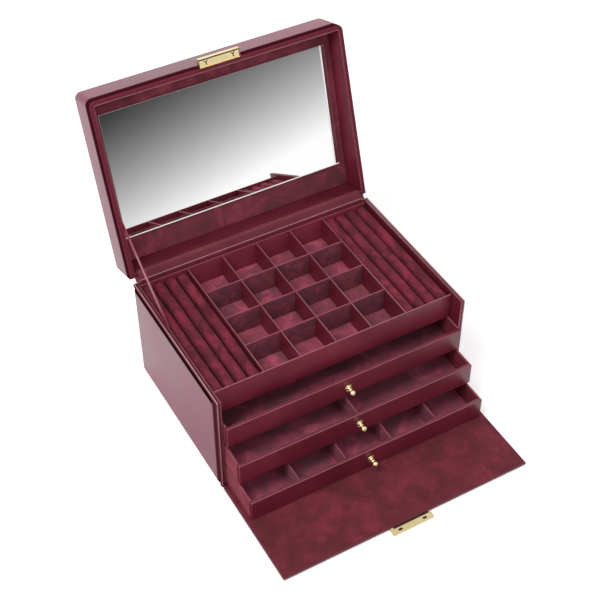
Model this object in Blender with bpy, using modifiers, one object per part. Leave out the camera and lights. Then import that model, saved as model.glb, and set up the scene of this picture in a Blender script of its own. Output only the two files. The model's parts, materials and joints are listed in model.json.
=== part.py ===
"""Leather jewellery case: a body with a fixed divided tray and three drawers, a mirrored lid held by a
strap, and a front flap that folds down flat. Metres, +Z up, +X right, +Y back. The origin is the centre
of the underside. The lid is open, the flap lies flat and the drawers are pulled out like a staircase."""

import math

import bmesh
import bpy
from mathutils import Matrix, Vector

for old in list(bpy.data.objects):
    bpy.data.objects.remove(old, do_unlink=True)

# ---------------------------------------------------------------- driving dimensions
GAP = 0.0003                    # between pieces that touch
SLOT_OVERRUN = 0.002            # cutters past the faces they open
SOFT_STEPS = 2                  # facets of a padded edge
LID_EDGE_STEPS = 3
CORNER_STEPS = 4                # facets of a quarter turn
BALL_STEPS = 6
ROUND_STEPS = 16                # facets round a turned piece

CASE_WIDTH = 0.300
CASE_DEPTH = 0.2007
CASE_HEIGHT = 0.134             # top of the padded covers

COVER = 0.0025                  # padded leather cover of the body
COVER_EDGE = 0.0011             # its rounded edge
BACK_COVER_EDGE = 0.0009
PANEL_EDGE = 0.0004             # eased edges of the thin boards
DRAWER_EDGE = 0.0005            # and of a drawer's walls and the tray's front
PANEL = 0.0025                  # carcass panel inside the cover
PANEL_PROUD = 0.0003            # the panel's rim above the cover's
BACK_COVER = 0.0020
BACK_PANEL = 0.0020
BACK_PANEL_DROP = 0.0026        # the back panel's rim below the side panels'

BASE_TOP = 0.0044               # leather underside and base board together

DRAWER_BACK_RUN = 0.0017        # closed drawers short of the back panel
DRAWER_RUN = 0.0004             # running clearance above and below a drawer
DRAWER_SIDE_RUN = 0.0005        # and at each side of it
DRAWER_FRONT = 0.0042
DRAWER_FRONT_EDGE = 0.0008
DRAWER_WALL = 0.0026
DRAWER_BACK = 0.0026
DRAWER_FLOOR = 0.0020
SHELF = 0.0040
FRONT_RECESS = 0.01725          # closed drawer fronts behind the front edges of the side walls
DRAWER_PULLS = (0.0244, 0.0492, 0.0740)    # how far the upper, middle and lower drawers stand out
DRAWER_DIVIDERS = (0, 1, 4)
DRAWER_DIVIDER = 0.0015
DRAWER_DIVIDER_DROP = 0.0015    # divider tops below the drawer's rim

TRAY_DROP = 0.0023              # tray rim below the padded covers
TRAY_WALL = 0.0017
TRAY_HEIGHT = 0.0335
TRAY_FLOOR = 0.0035
TRAY_DIVIDER = 0.0015
TRAY_DIVIDER_DROP = 0.0006      # divider tops below the tray's front wall
CELL_COLUMNS = 4
CELL_ROWS = 4
CELL_WIDTH = 0.0432             # centre to centre of the long dividers
CELL_LENGTH = 0.0452            # centre to centre of the cross dividers

ROLLS = 4                       # ring rolls on each side
ROLL_DROP = 0.0040              # roll tops below the tray's front wall
ROLL_NIP = 0.0004               # between neighbouring rolls
ROLL_GROOVE = 0.0095            # depth of the grooves that hold rings

KNOB_FOOT_RADIUS = 0.0047
KNOB_FOOT = 0.0012
KNOB_FOOT_RIM = 0.0007          # height of the foot's outer rim
KNOB_DOME_RADIUS = 0.0026       # where the foot's domed top starts
KNOB_NECK_RADIUS = 0.0016
KNOB_BALL_RADIUS = 0.0031
KNOB_LENGTH = 0.0120

HINGE_BEHIND = 0.0025           # lid hinge axis behind the back
HINGE_ABOVE = 0.00075           # lid hinge axis above the covers
LID_OPEN = math.radians(108.0)
LID_OVERHANG = 0.0047           # lid front ahead of the side walls, over the closed flap
LID_SIDE_OVERHANG = 0.0010      # lid wider than the body on each side
LID_HEIGHT = 0.0466
LID_COVER = 0.0030
LID_TOP = 0.0030
LID_CORNER = 0.0100             # rounding of its two front corners
LID_EDGE = 0.0040               # rounding round its top
LID_RIM_EDGE = 0.0022           # and round its rim
LID_WALL = 0.0027
LID_WALL_PROUD = 0.0003
LINING_DEPTH = 0.0293           # middle of the suede face inside the lid, below its rim
LINING_TILT = math.radians(2.0)     # the suede panel and the mirror lean forward
LINING_BOARD = 0.0020
MIRROR_THICKNESS = 0.0020
MIRROR_SIDE_MARGIN = 0.0084     # suede beside the mirror
MIRROR_BACK_MARGIN = 0.0285     # and between it and the lid's back wall
MIRROR_FRONT_MARGIN = 0.0187

CATCH_WIDTH = 0.0484
CATCH_LENGTH = 0.0102           # out from the lid's front
CATCH_SINK = 0.0016             # let into the padded front
CATCH_HEIGHT = 0.0110
CATCH_LIP = 0.0009              # thin raised edge round its face
CATCH_LIP_HEIGHT = 0.0024
HOOK_SPACING = 0.032
HOOK_WIDTH = 0.0022
HOOK_LENGTH = 0.0036
HOOK_HEIGHT = 0.0034
HOOK_ROOT = 0.0005              # how deep a hook is set in the catch

FLAP_SHORT = 0.0016             # flap length less than the case is high
FLAP_THICKNESS = 0.0032
FLAP_UNDER = 0.0010             # the flap's outer face above the table
FLAP_EDGE = 0.0010
FLAP_HINGE_AHEAD = 0.0025       # flap hinge axis ahead of the side walls
FLAP_HINGE_ABOVE = 0.0022
FLAP_BORDER = 0.0045            # leather border round the suede
FLAP_LINING = 0.0011
FLAP_RECESS = 0.0012

LOCK_WIDTH = 0.050
LOCK_LENGTH = 0.022
LOCK_THICKNESS = 0.0029
LOCK_REACH = 0.0089             # how far the lock stands past the flap's free edge
LOCK_SLOT_WIDTH = 0.0026
LOCK_SLOT_LENGTH = 0.0046
SLIDE_WIDTH = 0.012
SLIDE_LENGTH = 0.005
SLIDE_THICKNESS = 0.0010
SLIDE_TRAVEL = 0.0030
SLIDE_UNDER = 0.0002            # the slide's face above the lock's face
LOCK_SLOT_INSET = 0.0020        # slots from the lock's end
LOCK_SLOT_SPACING = 0.030
BRASS_EDGE = 0.0004
LINING_EDGE = 0.0003

STRAP_WIDTH = 0.0040
STRAP_THICKNESS = 0.0008
STRAP_FRONT_Y = 0.022           # lower end of the strap on the tray's left wall
STRAP_FRONT_DROP = 0.0045       # below the covers' top
STRAP_FROM_HINGE = 0.0695       # upper end, forward of the hinge axis inside the lid
STRAP_LID_DEPTH = 0.0045        # and below the lid's rim
HINGE_STRIP = 0.0008
HINGE_STRIP_REACH = 0.0090      # down the lid's back wall
HINGE_STRIP_MARGIN = 0.0030     # short of the side panels

# ---------------------------------------------------------------- places that follow
FRONT = -CASE_DEPTH / 2
BACK = CASE_DEPTH / 2
COVER_INNER_X = CASE_WIDTH / 2 - COVER
PANEL_OUTER_X = COVER_INNER_X - GAP
INSIDE_X = PANEL_OUTER_X - PANEL
BACK_COVER_INNER_Y = BACK - BACK_COVER
BACK_PANEL_OUTER_Y = BACK_COVER_INNER_Y - GAP
INSIDE_BACK_Y = BACK_PANEL_OUTER_Y - BACK_PANEL
PANEL_TOP = CASE_HEIGHT + PANEL_PROUD
DRAWER_FACE_Y = FRONT + FRONT_RECESS
DRAWER_HALF = INSIDE_X - DRAWER_SIDE_RUN
DRAWER_COUNT = len(DRAWER_PULLS)
TRAY_TOP = CASE_HEIGHT - TRAY_DROP
TRAY_BOTTOM = TRAY_TOP - TRAY_HEIGHT
DRAWER_SPACE = TRAY_BOTTOM - BASE_TOP - (DRAWER_COUNT - 1) * SHELF
DRAWER_HEIGHT = DRAWER_SPACE / DRAWER_COUNT - 2 * DRAWER_RUN
DRAWER_DEPTH = INSIDE_BACK_Y - DRAWER_BACK_RUN - DRAWER_FACE_Y
DRAWER_PITCH = DRAWER_HEIGHT + 2 * DRAWER_RUN + SHELF
DRAWER_BOTTOMS = [BASE_TOP + DRAWER_RUN + (DRAWER_COUNT - 1 - i) * DRAWER_PITCH for i in range(DRAWER_COUNT)]
TRAY_FLOOR_TOP = TRAY_BOTTOM + TRAY_FLOOR
TRAY_FRONT_Y = DRAWER_FACE_Y + TRAY_WALL
TRAY_HALF = INSIDE_X - GAP
TRAY_BACK_Y = INSIDE_BACK_Y - GAP
DIVIDER_TOP = TRAY_TOP - TRAY_DIVIDER_DROP
LONG_DIVIDER_X = [(i - CELL_COLUMNS / 2) * CELL_WIDTH for i in range(CELL_COLUMNS + 1)]
CROSS_DIVIDER_Y = [INSIDE_BACK_Y - (CELL_ROWS - 1 - i) * CELL_LENGTH for i in range(CELL_ROWS - 1)]
LID_LENGTH = CASE_DEPTH + LID_OVERHANG
LID_HALF = CASE_WIDTH / 2 + LID_SIDE_OVERHANG
HINGE_Y = BACK + HINGE_BEHIND
HINGE_Z = CASE_HEIGHT + HINGE_ABOVE
FLAP_HINGE_Y = FRONT - FLAP_HINGE_AHEAD
FLAP_NEAR_Y = FLAP_HINGE_Y - GAP
FLAP_FREE_Y = FLAP_NEAR_Y - (CASE_HEIGHT - FLAP_SHORT)
FLAP_TOP = FLAP_UNDER + FLAP_THICKNESS

LEATHER_DARK = (0.085, 0.016, 0.030)
LEATHER_INNER = (0.105, 0.018, 0.034)
SUEDE_DARK = (0.130, 0.024, 0.040)
SUEDE_RED = (0.220, 0.032, 0.052)
BOARD_EDGE = (0.230, 0.075, 0.095)
BRASS = (0.780, 0.560, 0.190)
SILVER = (0.800, 0.820, 0.820)


# ---------------------------------------------------------------- materials and collections
def material(name, colour, roughness, metallic=0.0):
    """A plain surface with one colour, roughness and metallic value."""
    made = bpy.data.materials.new(name)
    made.use_nodes = True
    shader = made.node_tree.nodes["Principled BSDF"]
    shader.inputs["Base Color"].default_value = (*colour, 1.0)
    shader.inputs["Roughness"].default_value = roughness
    shader.inputs["Metallic"].default_value = metallic
    return made


def leather(name):
    return material(name, LEATHER_DARK, 0.42)


def inner_leather(name):
    return material(name, LEATHER_INNER, 0.50)


def suede(name):
    return material(name, SUEDE_DARK, 0.92)


def red_suede(name):
    return material(name, SUEDE_RED, 0.90)


def board(name):
    return material(name, BOARD_EDGE, 0.70)


def brass(name):
    return material(name, BRASS, 0.22, 1.0)


def silvered_glass(name):
    return material(name, SILVER, 0.03, 1.0)


parts = bpy.data.collections.new("leather_jewellery_case")
cutters = bpy.data.collections.new("cutters")
bpy.context.scene.collection.children.link(parts)
bpy.context.scene.collection.children.link(cutters)


# ---------------------------------------------------------------- shape tools
def add_box(bm, low, high):
    """A box between two corners; gives back its vertices."""
    low = Vector(low)
    high = Vector(high)
    size = high - low
    place = Matrix.Translation((low + high) / 2) @ Matrix.Diagonal((*size, 1.0))
    return bmesh.ops.create_cube(bm, size=1.0, matrix=place)["verts"]


def finish(bm, name, finish_of, parent=None, at=(0, 0, 0)):
    """Turns a mesh into a named part with its own material."""
    mesh = bpy.data.meshes.new(name)
    bmesh.ops.recalc_face_normals(bm, faces=bm.faces)
    bm.to_mesh(mesh)
    bm.free()
    obj = bpy.data.objects.new(name, mesh)
    obj.data.materials.append(finish_of(name))
    obj.location = at
    obj.parent = parent
    parts.objects.link(obj)
    return obj


def slab(name, low, high, finish_of, parent=None, edge=0.0, segments=1):
    """A board or sheet between two corners, with its edges eased; its origin is its centre."""
    centre = (Vector(low) + Vector(high)) / 2
    bm = bmesh.new()
    add_box(bm, Vector(low) - centre, Vector(high) - centre)
    obj = finish(bm, name, finish_of, parent, centre)
    if edge > 0.0:
        ease(obj, edge, segments)
    return obj


def ease(obj, width, segments):
    """Rounded edges all over a piece."""
    bevel = obj.modifiers.new("eased_edges", "BEVEL")
    bevel.width = width
    bevel.segments = segments
    bevel.limit_method = "ANGLE"


def cutter(name, boxes, parent=None):
    """Boxes that are taken out of a part."""
    bm = bmesh.new()
    for low, high in boxes:
        add_box(bm, low, high)
    return tool_of(bm, name, parent)


def prism(bm, outline, low, high):
    """An upright solid over an outline."""
    base = bm.faces.new([bm.verts.new((x, y, low)) for x, y in outline])
    grown = bmesh.ops.extrude_face_region(bm, geom=[base])["geom"]
    for vertex in grown:
        if isinstance(vertex, bmesh.types.BMVert):
            vertex.co.z = high


def prism_cutter(name, outline, low, high, parent):
    bm = bmesh.new()
    prism(bm, outline, low, high)
    return tool_of(bm, name, parent)


def tool_of(bm, name, parent):
    """Turns a mesh into a shape that only cuts, trims or joins parts."""
    mesh = bpy.data.meshes.new(name)
    bmesh.ops.recalc_face_normals(bm, faces=bm.faces)
    bm.to_mesh(mesh)
    bm.free()
    obj = bpy.data.objects.new(name, mesh)
    obj.parent = parent
    obj.hide_render = True
    obj.display_type = "WIRE"
    cutters.objects.link(obj)
    return obj


def cut(obj, tool):
    difference = obj.modifiers.new("cut_" + tool.name, "BOOLEAN")
    difference.operation = "DIFFERENCE"
    difference.object = tool


def trim(obj, tool):
    """Keeps only what lies inside another shape."""
    common = obj.modifiers.new("inside_" + tool.name, "BOOLEAN")
    common.operation = "INTERSECT"
    common.object = tool


def join(obj, other):
    """Unites another shape with a part; the other shape is only a tool from then on."""
    union = obj.modifiers.new("with_" + other.name, "BOOLEAN")
    union.operation = "UNION"
    union.object = other
    other.hide_render = True
    other.display_type = "WIRE"
    if other.name in parts.objects:
        parts.objects.unlink(other)
        cutters.objects.link(other)


def joint_frame(name, at, tilt=0.0):
    """An empty on a joint's axis, or on a tilted panel, which carries the pieces that go with it."""
    empty = bpy.data.objects.new(name, None)
    empty.location = at
    empty.rotation_euler = (tilt, 0.0, 0.0)
    empty.empty_display_size = 0.02
    parts.objects.link(empty)
    return empty


def turned(name, profile, finish_of, parent, at, turn, steps=ROUND_STEPS):
    """A profile of (radius, height) points, top to bottom, turned about its own Z axis."""
    bm = bmesh.new()
    points = [bm.verts.new((radius, 0.0, height)) for radius, height in profile]
    for upper, lower in zip(points, points[1:]):
        bm.edges.new((upper, lower))
    mesh = bpy.data.meshes.new(name)
    bm.to_mesh(mesh)
    bm.free()
    obj = bpy.data.objects.new(name, mesh)
    obj.data.materials.append(finish_of(name))
    obj.location = at
    obj.rotation_euler = turn
    obj.parent = parent
    screw = obj.modifiers.new("turned", "SCREW")
    screw.steps = steps
    screw.render_steps = steps
    screw.use_merge_vertices = True
    screw.merge_threshold = 0.00001
    screw.use_smooth_shade = True
    parts.objects.link(obj)
    return obj


def arc(centre, radius, start, end, steps):
    """Points (radius, height) on an arc, from one angle to another in degrees."""
    angles = [math.radians(start + (end - start) * i / steps) for i in range(steps + 1)]
    return [(centre[0] + radius * math.cos(a), centre[1] + radius * math.sin(a)) for a in angles]


# ---------------------------------------------------------------- body
def make_base():
    slab("base_board", (-PANEL_OUTER_X, FRONT, 0), (PANEL_OUTER_X, BACK_PANEL_OUTER_Y, BASE_TOP), leather)


def make_side(side, sign):
    """Padded cover and carcass panel of one side."""
    outer = sorted((sign * CASE_WIDTH / 2, sign * COVER_INNER_X))
    inner = sorted((sign * PANEL_OUTER_X, sign * INSIDE_X))
    slab(side + "_cover", (outer[0], FRONT, 0), (outer[1], BACK, CASE_HEIGHT), leather, None, COVER_EDGE,
         SOFT_STEPS)
    slab(side + "_panel", (inner[0], FRONT, BASE_TOP + GAP), (inner[1], BACK_PANEL_OUTER_Y, PANEL_TOP),
         inner_leather, None, PANEL_EDGE)


def make_back():
    slab("back_cover", (-PANEL_OUTER_X, BACK_COVER_INNER_Y, 0), (PANEL_OUTER_X, BACK, CASE_HEIGHT), leather,
         None, BACK_COVER_EDGE, SOFT_STEPS)
    slab("back_panel", (-TRAY_HALF, INSIDE_BACK_Y, BASE_TOP + GAP),
         (TRAY_HALF, BACK_PANEL_OUTER_Y, PANEL_TOP - BACK_PANEL_DROP), inner_leather, None, PANEL_EDGE)


def make_shelves():
    """Boards that carry the upper two drawers."""
    for name, below in (("upper_shelf", 1), ("lower_shelf", 2)):
        under = DRAWER_BOTTOMS[below] + DRAWER_HEIGHT + DRAWER_RUN
        slab(name, (-TRAY_HALF, DRAWER_FACE_Y + GAP, under), (TRAY_HALF, TRAY_BACK_Y, under + SHELF), board)


# ---------------------------------------------------------------- tray
def make_tray_shell():
    slab("tray_front", (-TRAY_HALF, DRAWER_FACE_Y, TRAY_BOTTOM), (TRAY_HALF, TRAY_FRONT_Y, TRAY_TOP),
         inner_leather, None, DRAWER_EDGE)
    slab("tray_floor", (-TRAY_HALF, TRAY_FRONT_Y + GAP, TRAY_BOTTOM),
         (TRAY_HALF, TRAY_BACK_Y, TRAY_FLOOR_TOP), board)


def crossing_slots(x_places, y_places, low, high):
    """Slots where a divider and those that it crosses pass through each other."""
    half = TRAY_DIVIDER / 2 + GAP
    return [((x - half, y - half, low), (x + half, y + half, high)) for x in x_places for y in y_places]


def make_dividers():
    """Long dividers, and cross dividers that interlock with the inner ones at half their height."""
    half = TRAY_DIVIDER / 2
    foot = TRAY_FLOOR_TOP + GAP
    middle = (foot + DIVIDER_TOP) / 2
    inner = LONG_DIVIDER_X[1:-1]
    for i, x in enumerate(LONG_DIVIDER_X):
        name = "long_divider_%d" % (i + 1)
        divider = slab(name, (x - half, TRAY_FRONT_Y + GAP, foot), (x + half, TRAY_BACK_Y, DIVIDER_TOP),
                       inner_leather)
        if x in inner:
            slots = crossing_slots([x], CROSS_DIVIDER_Y, middle - GAP / 2, DIVIDER_TOP + SLOT_OVERRUN)
            cut(divider, cutter(name + "_slots", slots))
    reach = LONG_DIVIDER_X[-1] - half - GAP
    for i, y in enumerate(CROSS_DIVIDER_Y):
        name = "cross_divider_%d" % (i + 1)
        divider = slab(name, (-reach, y - half, foot), (reach, y + half, DIVIDER_TOP), inner_leather)
        slots = crossing_slots(inner, [y], foot - SLOT_OVERRUN, middle + GAP / 2)
        cut(divider, cutter(name + "_slots", slots))


def make_ring_rolls():
    """A bank of suede rolls on a foam bed at each side, between the outer divider and the side panel."""
    inner = LONG_DIVIDER_X[-1] + TRAY_DIVIDER / 2 + GAP
    pitch = (TRAY_HALF - inner) / ROLLS
    radius = (pitch - ROLL_NIP) / 2
    height = TRAY_TOP - ROLL_DROP - radius
    bed_top = TRAY_TOP - ROLL_DROP - ROLL_GROOVE
    front = TRAY_FRONT_Y + GAP
    length = TRAY_BACK_Y - front
    back_end = arc((0.0, length - radius), radius, 90, 0, CORNER_STEPS)
    profile = [(0.0, length)] + back_end[1:] + [(radius, 0.0), (0.0, 0.0)]
    for side, sign in (("left", -1), ("right", 1)):
        near = min(sign * inner, sign * TRAY_HALF)
        far = max(sign * inner, sign * TRAY_HALF)
        bank = slab(side + "_ring_rolls", (near, front, TRAY_FLOOR_TOP + GAP), (far, TRAY_BACK_Y, bed_top),
                    red_suede)
        for i in range(ROLLS):
            x = sign * (TRAY_HALF - (i + 0.5) * pitch)
            roll = turned("%s_roll_%d" % (side, i + 1), profile, red_suede, None, (x, front, height),
                          (-math.pi / 2, 0.0, 0.0))
            join(bank, roll)


# ---------------------------------------------------------------- drawers
def knob_profile():
    """Round foot, waisted neck and ball, from the outer end to the drawer's face."""
    ball = KNOB_LENGTH - KNOB_BALL_RADIUS
    meets = -math.degrees(math.acos(KNOB_NECK_RADIUS / KNOB_BALL_RADIUS))
    head = arc((0.0, ball), KNOB_BALL_RADIUS, 90, meets, BALL_STEPS)
    shoulder = KNOB_FOOT + KNOB_NECK_RADIUS
    foot = [(KNOB_NECK_RADIUS, shoulder), (KNOB_DOME_RADIUS, KNOB_FOOT), (KNOB_FOOT_RADIUS, KNOB_FOOT_RIM)]
    return [(0.0, KNOB_LENGTH)] + head[1:] + foot + [(KNOB_FOOT_RADIUS, 0.0), (0.0, 0.0)]


def make_drawer(number):
    """One drawer, in its own frame: its face at y = 0 and its underside at z = 0."""
    index = number - 1
    name = "drawer_%d" % number
    slide = joint_frame(name + "_slide", (0.0, DRAWER_FACE_Y - DRAWER_PULLS[index], DRAWER_BOTTOMS[index]))
    behind = DRAWER_FRONT + GAP
    inside = DRAWER_HALF - DRAWER_WALL
    floor_half = inside - GAP
    back_face = DRAWER_DEPTH - DRAWER_BACK
    slab(name + "_front", (-DRAWER_HALF, 0, 0), (DRAWER_HALF, DRAWER_FRONT, DRAWER_HEIGHT), inner_leather,
         slide, DRAWER_FRONT_EDGE, SOFT_STEPS)
    for side, sign in (("left", -1), ("right", 1)):
        low = min(sign * inside, sign * DRAWER_HALF)
        high = max(sign * inside, sign * DRAWER_HALF)
        slab("%s_%s_side" % (name, side), (low, behind, 0), (high, DRAWER_DEPTH, DRAWER_HEIGHT), red_suede,
             slide, DRAWER_EDGE)
    slab(name + "_back", (-floor_half, back_face, 0), (floor_half, DRAWER_DEPTH, DRAWER_HEIGHT), suede, slide,
         DRAWER_EDGE)
    slab(name + "_floor", (-floor_half, behind, 0), (floor_half, back_face - GAP, DRAWER_FLOOR), suede, slide)
    turned(name + "_knob", knob_profile(), brass, slide, (0.0, -GAP, DRAWER_HEIGHT / 2),
           (math.pi / 2, 0.0, 0.0))
    count = DRAWER_DIVIDERS[index]
    if count:
        make_drawer_dividers(name, slide, count, floor_half, behind, back_face - GAP)


def make_drawer_dividers(name, slide, count, floor_half, front, back):
    """Upright dividers that share a drawer's width into equal compartments."""
    half = DRAWER_DIVIDER / 2
    pitch = (2 * floor_half + DRAWER_DIVIDER) / (count + 1)
    top = DRAWER_HEIGHT - DRAWER_DIVIDER_DROP
    for i in range(count):
        x = (i - (count - 1) / 2) * pitch
        slab("%s_divider_%d" % (name, i + 1), (x - half, front, DRAWER_FLOOR + GAP), (x + half, back, top),
             suede, slide)


# ---------------------------------------------------------------- lid
def lid_place(from_back, depth):
    """A place in the closed lid, seen from its hinge: how far forward of its back, how far above its rim."""
    return -(HINGE_BEHIND + from_back), depth


def rounded_front(half, front, back, radius):
    """Corners of an outline that is square at the back and rounded at its two front corners."""
    left = arc((-half + radius, front + radius), radius, 180, 270, CORNER_STEPS)
    right = arc((half - radius, front + radius), radius, 270, 360, CORNER_STEPS)
    return [(-half, back)] + left + right + [(half, back)]


def make_lid_cover(hinge):
    """Padded leather shell, open at the rim, with soft outer edges and a place for the catch."""
    front, top = lid_place(LID_LENGTH, LID_HEIGHT)
    back, rim = lid_place(0.0, LID_WALL_PROUD)
    bm = bmesh.new()
    prism(bm, rounded_front(LID_HALF, front, back, LID_CORNER), rim, top)
    weight = bm.edges.layers.float.new("bevel_weight_edge")
    for edge in bm.edges:
        low, high = sorted(vertex.co.z for vertex in edge.verts)
        if low == high:
            edge[weight] = 1.0 if low > LID_HEIGHT / 2 else LID_RIM_EDGE / LID_EDGE
    cover = finish(bm, "lid_cover", leather, hinge)
    bevel = cover.modifiers.new("soft_edges", "BEVEL")
    bevel.width = LID_EDGE
    bevel.segments = LID_EDGE_STEPS
    bevel.limit_method = "WEIGHT"
    bevel.use_clamp_overlap = False
    inside = rounded_front(LID_HALF - LID_COVER, front + LID_COVER, back - LID_COVER, LID_CORNER - LID_COVER)
    cut(cover, prism_cutter("lid_inside", inside, rim - SLOT_OVERRUN, top - LID_TOP, hinge))
    half = CATCH_WIDTH / 2 + GAP
    seat = ((-half, front - SLOT_OVERRUN, rim - SLOT_OVERRUN),
            (half, front + CATCH_SINK, rim + CATCH_HEIGHT + GAP))
    cut(cover, cutter("catch_seat", [seat], hinge))


def make_lid_frame(hinge):
    """Four walls inside the cover, which follow its rounded front corners."""
    outer_x = LID_HALF - LID_COVER - GAP
    inner_x = outer_x - LID_WALL
    outer = LID_COVER + GAP
    inner = outer + LID_WALL
    front_out, rim = lid_place(LID_LENGTH - outer, 0.0)
    front_in, top = lid_place(LID_LENGTH - inner, LID_HEIGHT - LID_TOP - GAP)
    back_out = lid_place(outer, 0.0)[0]
    back_in = lid_place(inner, 0.0)[0]
    front_wall = slab("lid_front_wall", (-outer_x, front_out, rim), (outer_x, front_in, top), inner_leather,
                      hinge)
    slab("lid_back_wall", (-outer_x, back_in, rim), (outer_x, back_out, top), inner_leather, hinge,
         PANEL_EDGE)
    walls = [front_wall]
    for side, sign in (("left", -1), ("right", 1)):
        low = min(sign * inner_x, sign * outer_x)
        high = max(sign * inner_x, sign * outer_x)
        walls.append(slab("lid_%s_wall" % side, (low, front_in + GAP, rim), (high, back_in - GAP, top),
                          inner_leather, hinge))
    round_inside = rounded_front(outer_x, front_out, 0.0, LID_CORNER - outer)
    keep = prism_cutter("lid_frame_outline", round_inside, rim - SLOT_OVERRUN, top + SLOT_OVERRUN, hinge)
    for wall in walls:
        trim(wall, keep)
        ease(wall, PANEL_EDGE, 1)
    return inner_x, inner


def make_lid_lining(hinge, inner_x, inner):
    """Suede panel across the lid, and the mirror on it, both leaning forward a little."""
    front = lid_place(LID_LENGTH - inner - GAP, 0.0)[0]
    back = lid_place(inner + GAP, 0.0)[0]
    middle = (front + back) / 2
    panel = joint_frame("lid_panel", (0.0, middle, LINING_DEPTH), LINING_TILT)
    panel.parent = hinge
    half = inner_x - GAP
    slab("lid_lining", (-half, front - middle, 0.0), (half, back - middle, LINING_BOARD), suede, panel)
    glass_half = inner_x - MIRROR_SIDE_MARGIN
    glass_front = lid_place(LID_LENGTH - inner - MIRROR_FRONT_MARGIN, 0.0)[0] - middle
    glass_back = lid_place(inner + MIRROR_BACK_MARGIN, 0.0)[0] - middle
    slab("lid_mirror", (-glass_half, glass_front, -GAP - MIRROR_THICKNESS), (glass_half, glass_back, -GAP),
         silvered_glass, panel, DRAWER_EDGE)


def make_catch(hinge):
    """Brass catch let into the lid's front, with a thin lip round its face and two hooks for the lock."""
    half = CATCH_WIDTH / 2
    against = lid_place(LID_LENGTH - CATCH_SINK, 0.0)[0] - GAP
    out = against - CATCH_LENGTH
    rim = LID_WALL_PROUD
    face = rim + CATCH_LIP_HEIGHT
    bm = bmesh.new()
    add_box(bm, (-half, out, rim), (half, against, rim + CATCH_HEIGHT))
    catch = finish(bm, "lid_catch", brass, hinge)
    ease(catch, BRASS_EDGE, 1)
    hollow = ((-half + CATCH_LIP, out + CATCH_LIP, rim - SLOT_OVERRUN),
              (half - CATCH_LIP, against - CATCH_LIP, face))
    cut(catch, cutter("catch_hollow", [hollow], hinge))
    hooks = []
    middle = (out + against) / 2
    for sign in (-1, 1):
        x = sign * HOOK_SPACING / 2
        hooks.append(((x - HOOK_WIDTH / 2, middle - HOOK_LENGTH / 2, face - HOOK_HEIGHT),
                      (x + HOOK_WIDTH / 2, middle + HOOK_LENGTH / 2, face + HOOK_ROOT)))
    join(catch, cutter("catch_hooks", hooks, hinge))


def make_lid():
    hinge = joint_frame("lid_hinge", (0.0, HINGE_Y, HINGE_Z), -LID_OPEN)
    make_lid_cover(hinge)
    inner_x, inner = make_lid_frame(hinge)
    make_lid_lining(hinge, inner_x, inner)
    make_catch(hinge)


def open_lid_point(forward, depth):
    """Where a place of the closed lid (forward of the hinge axis, above the rim) is while the lid is open."""
    y = HINGE_Y - forward * math.cos(LID_OPEN) + depth * math.sin(LID_OPEN)
    z = HINGE_Z + forward * math.sin(LID_OPEN) + depth * math.cos(LID_OPEN)
    return y, z


def folded_strip(name, path, half_width, finish_of):
    """A strip of hinge leather that follows a path of (y, z) places, seen from the side."""
    bm = bmesh.new()
    rows = [[bm.verts.new((x, y, z)) for y, z in path] for x in (-half_width, half_width)]
    for i in range(len(path) - 1):
        bm.faces.new((rows[0][i], rows[0][i + 1], rows[1][i + 1], rows[1][i]))
    strip = finish(bm, name, finish_of)
    solidify = strip.modifiers.new("thickness", "SOLIDIFY")
    solidify.thickness = HINGE_STRIP
    solidify.offset = 0.0
    solidify.use_even_offset = True
    return strip


def make_lid_leather():
    """The leather that joins the lid to the body, inside and outside."""
    half = HINGE_STRIP / 2
    over_panel = (BACK_PANEL_OUTER_Y - BACK_PANEL / 2, PANEL_TOP - BACK_PANEL_DROP + GAP + half)
    over_cover = (BACK_COVER_INNER_Y - GAP - half / 2, CASE_HEIGHT + GAP + half)
    wall_face = HINGE_BEHIND + LID_COVER + GAP + LID_WALL + GAP + half
    past_rim = open_lid_point(wall_face + GAP, -GAP - half)
    in_lid = open_lid_point(wall_face, HINGE_STRIP_REACH)
    folded_strip("lid_hinge_inner", [over_panel, over_cover, past_rim, in_lid],
                 TRAY_HALF - HINGE_STRIP_MARGIN, inner_leather)
    on_back = (BACK - COVER_EDGE, CASE_HEIGHT + GAP + half)
    on_lid = open_lid_point(HINGE_BEHIND + LID_RIM_EDGE, -GAP - half)
    folded_strip("lid_hinge_outer", [on_back, on_lid], CASE_WIDTH / 2 - LID_EDGE, leather)


def make_strap():
    """Flat strap from the tray's left wall to the lid's left wall, taut while the lid is open."""
    low = (STRAP_FRONT_Y, CASE_HEIGHT - STRAP_FRONT_DROP)
    high = open_lid_point(STRAP_FROM_HINGE, STRAP_LID_DEPTH)
    length = math.dist(low, high)
    x_low = -INSIDE_X + GAP + STRAP_THICKNESS / 2
    x_high = -LID_HALF + LID_COVER + GAP + LID_WALL + GAP + STRAP_THICKNESS / 2
    bm = bmesh.new()
    for vertex in add_box(bm, (-STRAP_THICKNESS / 2, 0.0, -STRAP_WIDTH / 2),
                          (STRAP_THICKNESS / 2, length, STRAP_WIDTH / 2)):
        vertex.co.x += (x_high - x_low) * vertex.co.y / length
    strap = finish(bm, "lid_strap", inner_leather, None, (x_low, *low))
    strap.rotation_euler = (math.atan2(high[1] - low[1], high[0] - low[0]), 0.0, 0.0)


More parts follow.
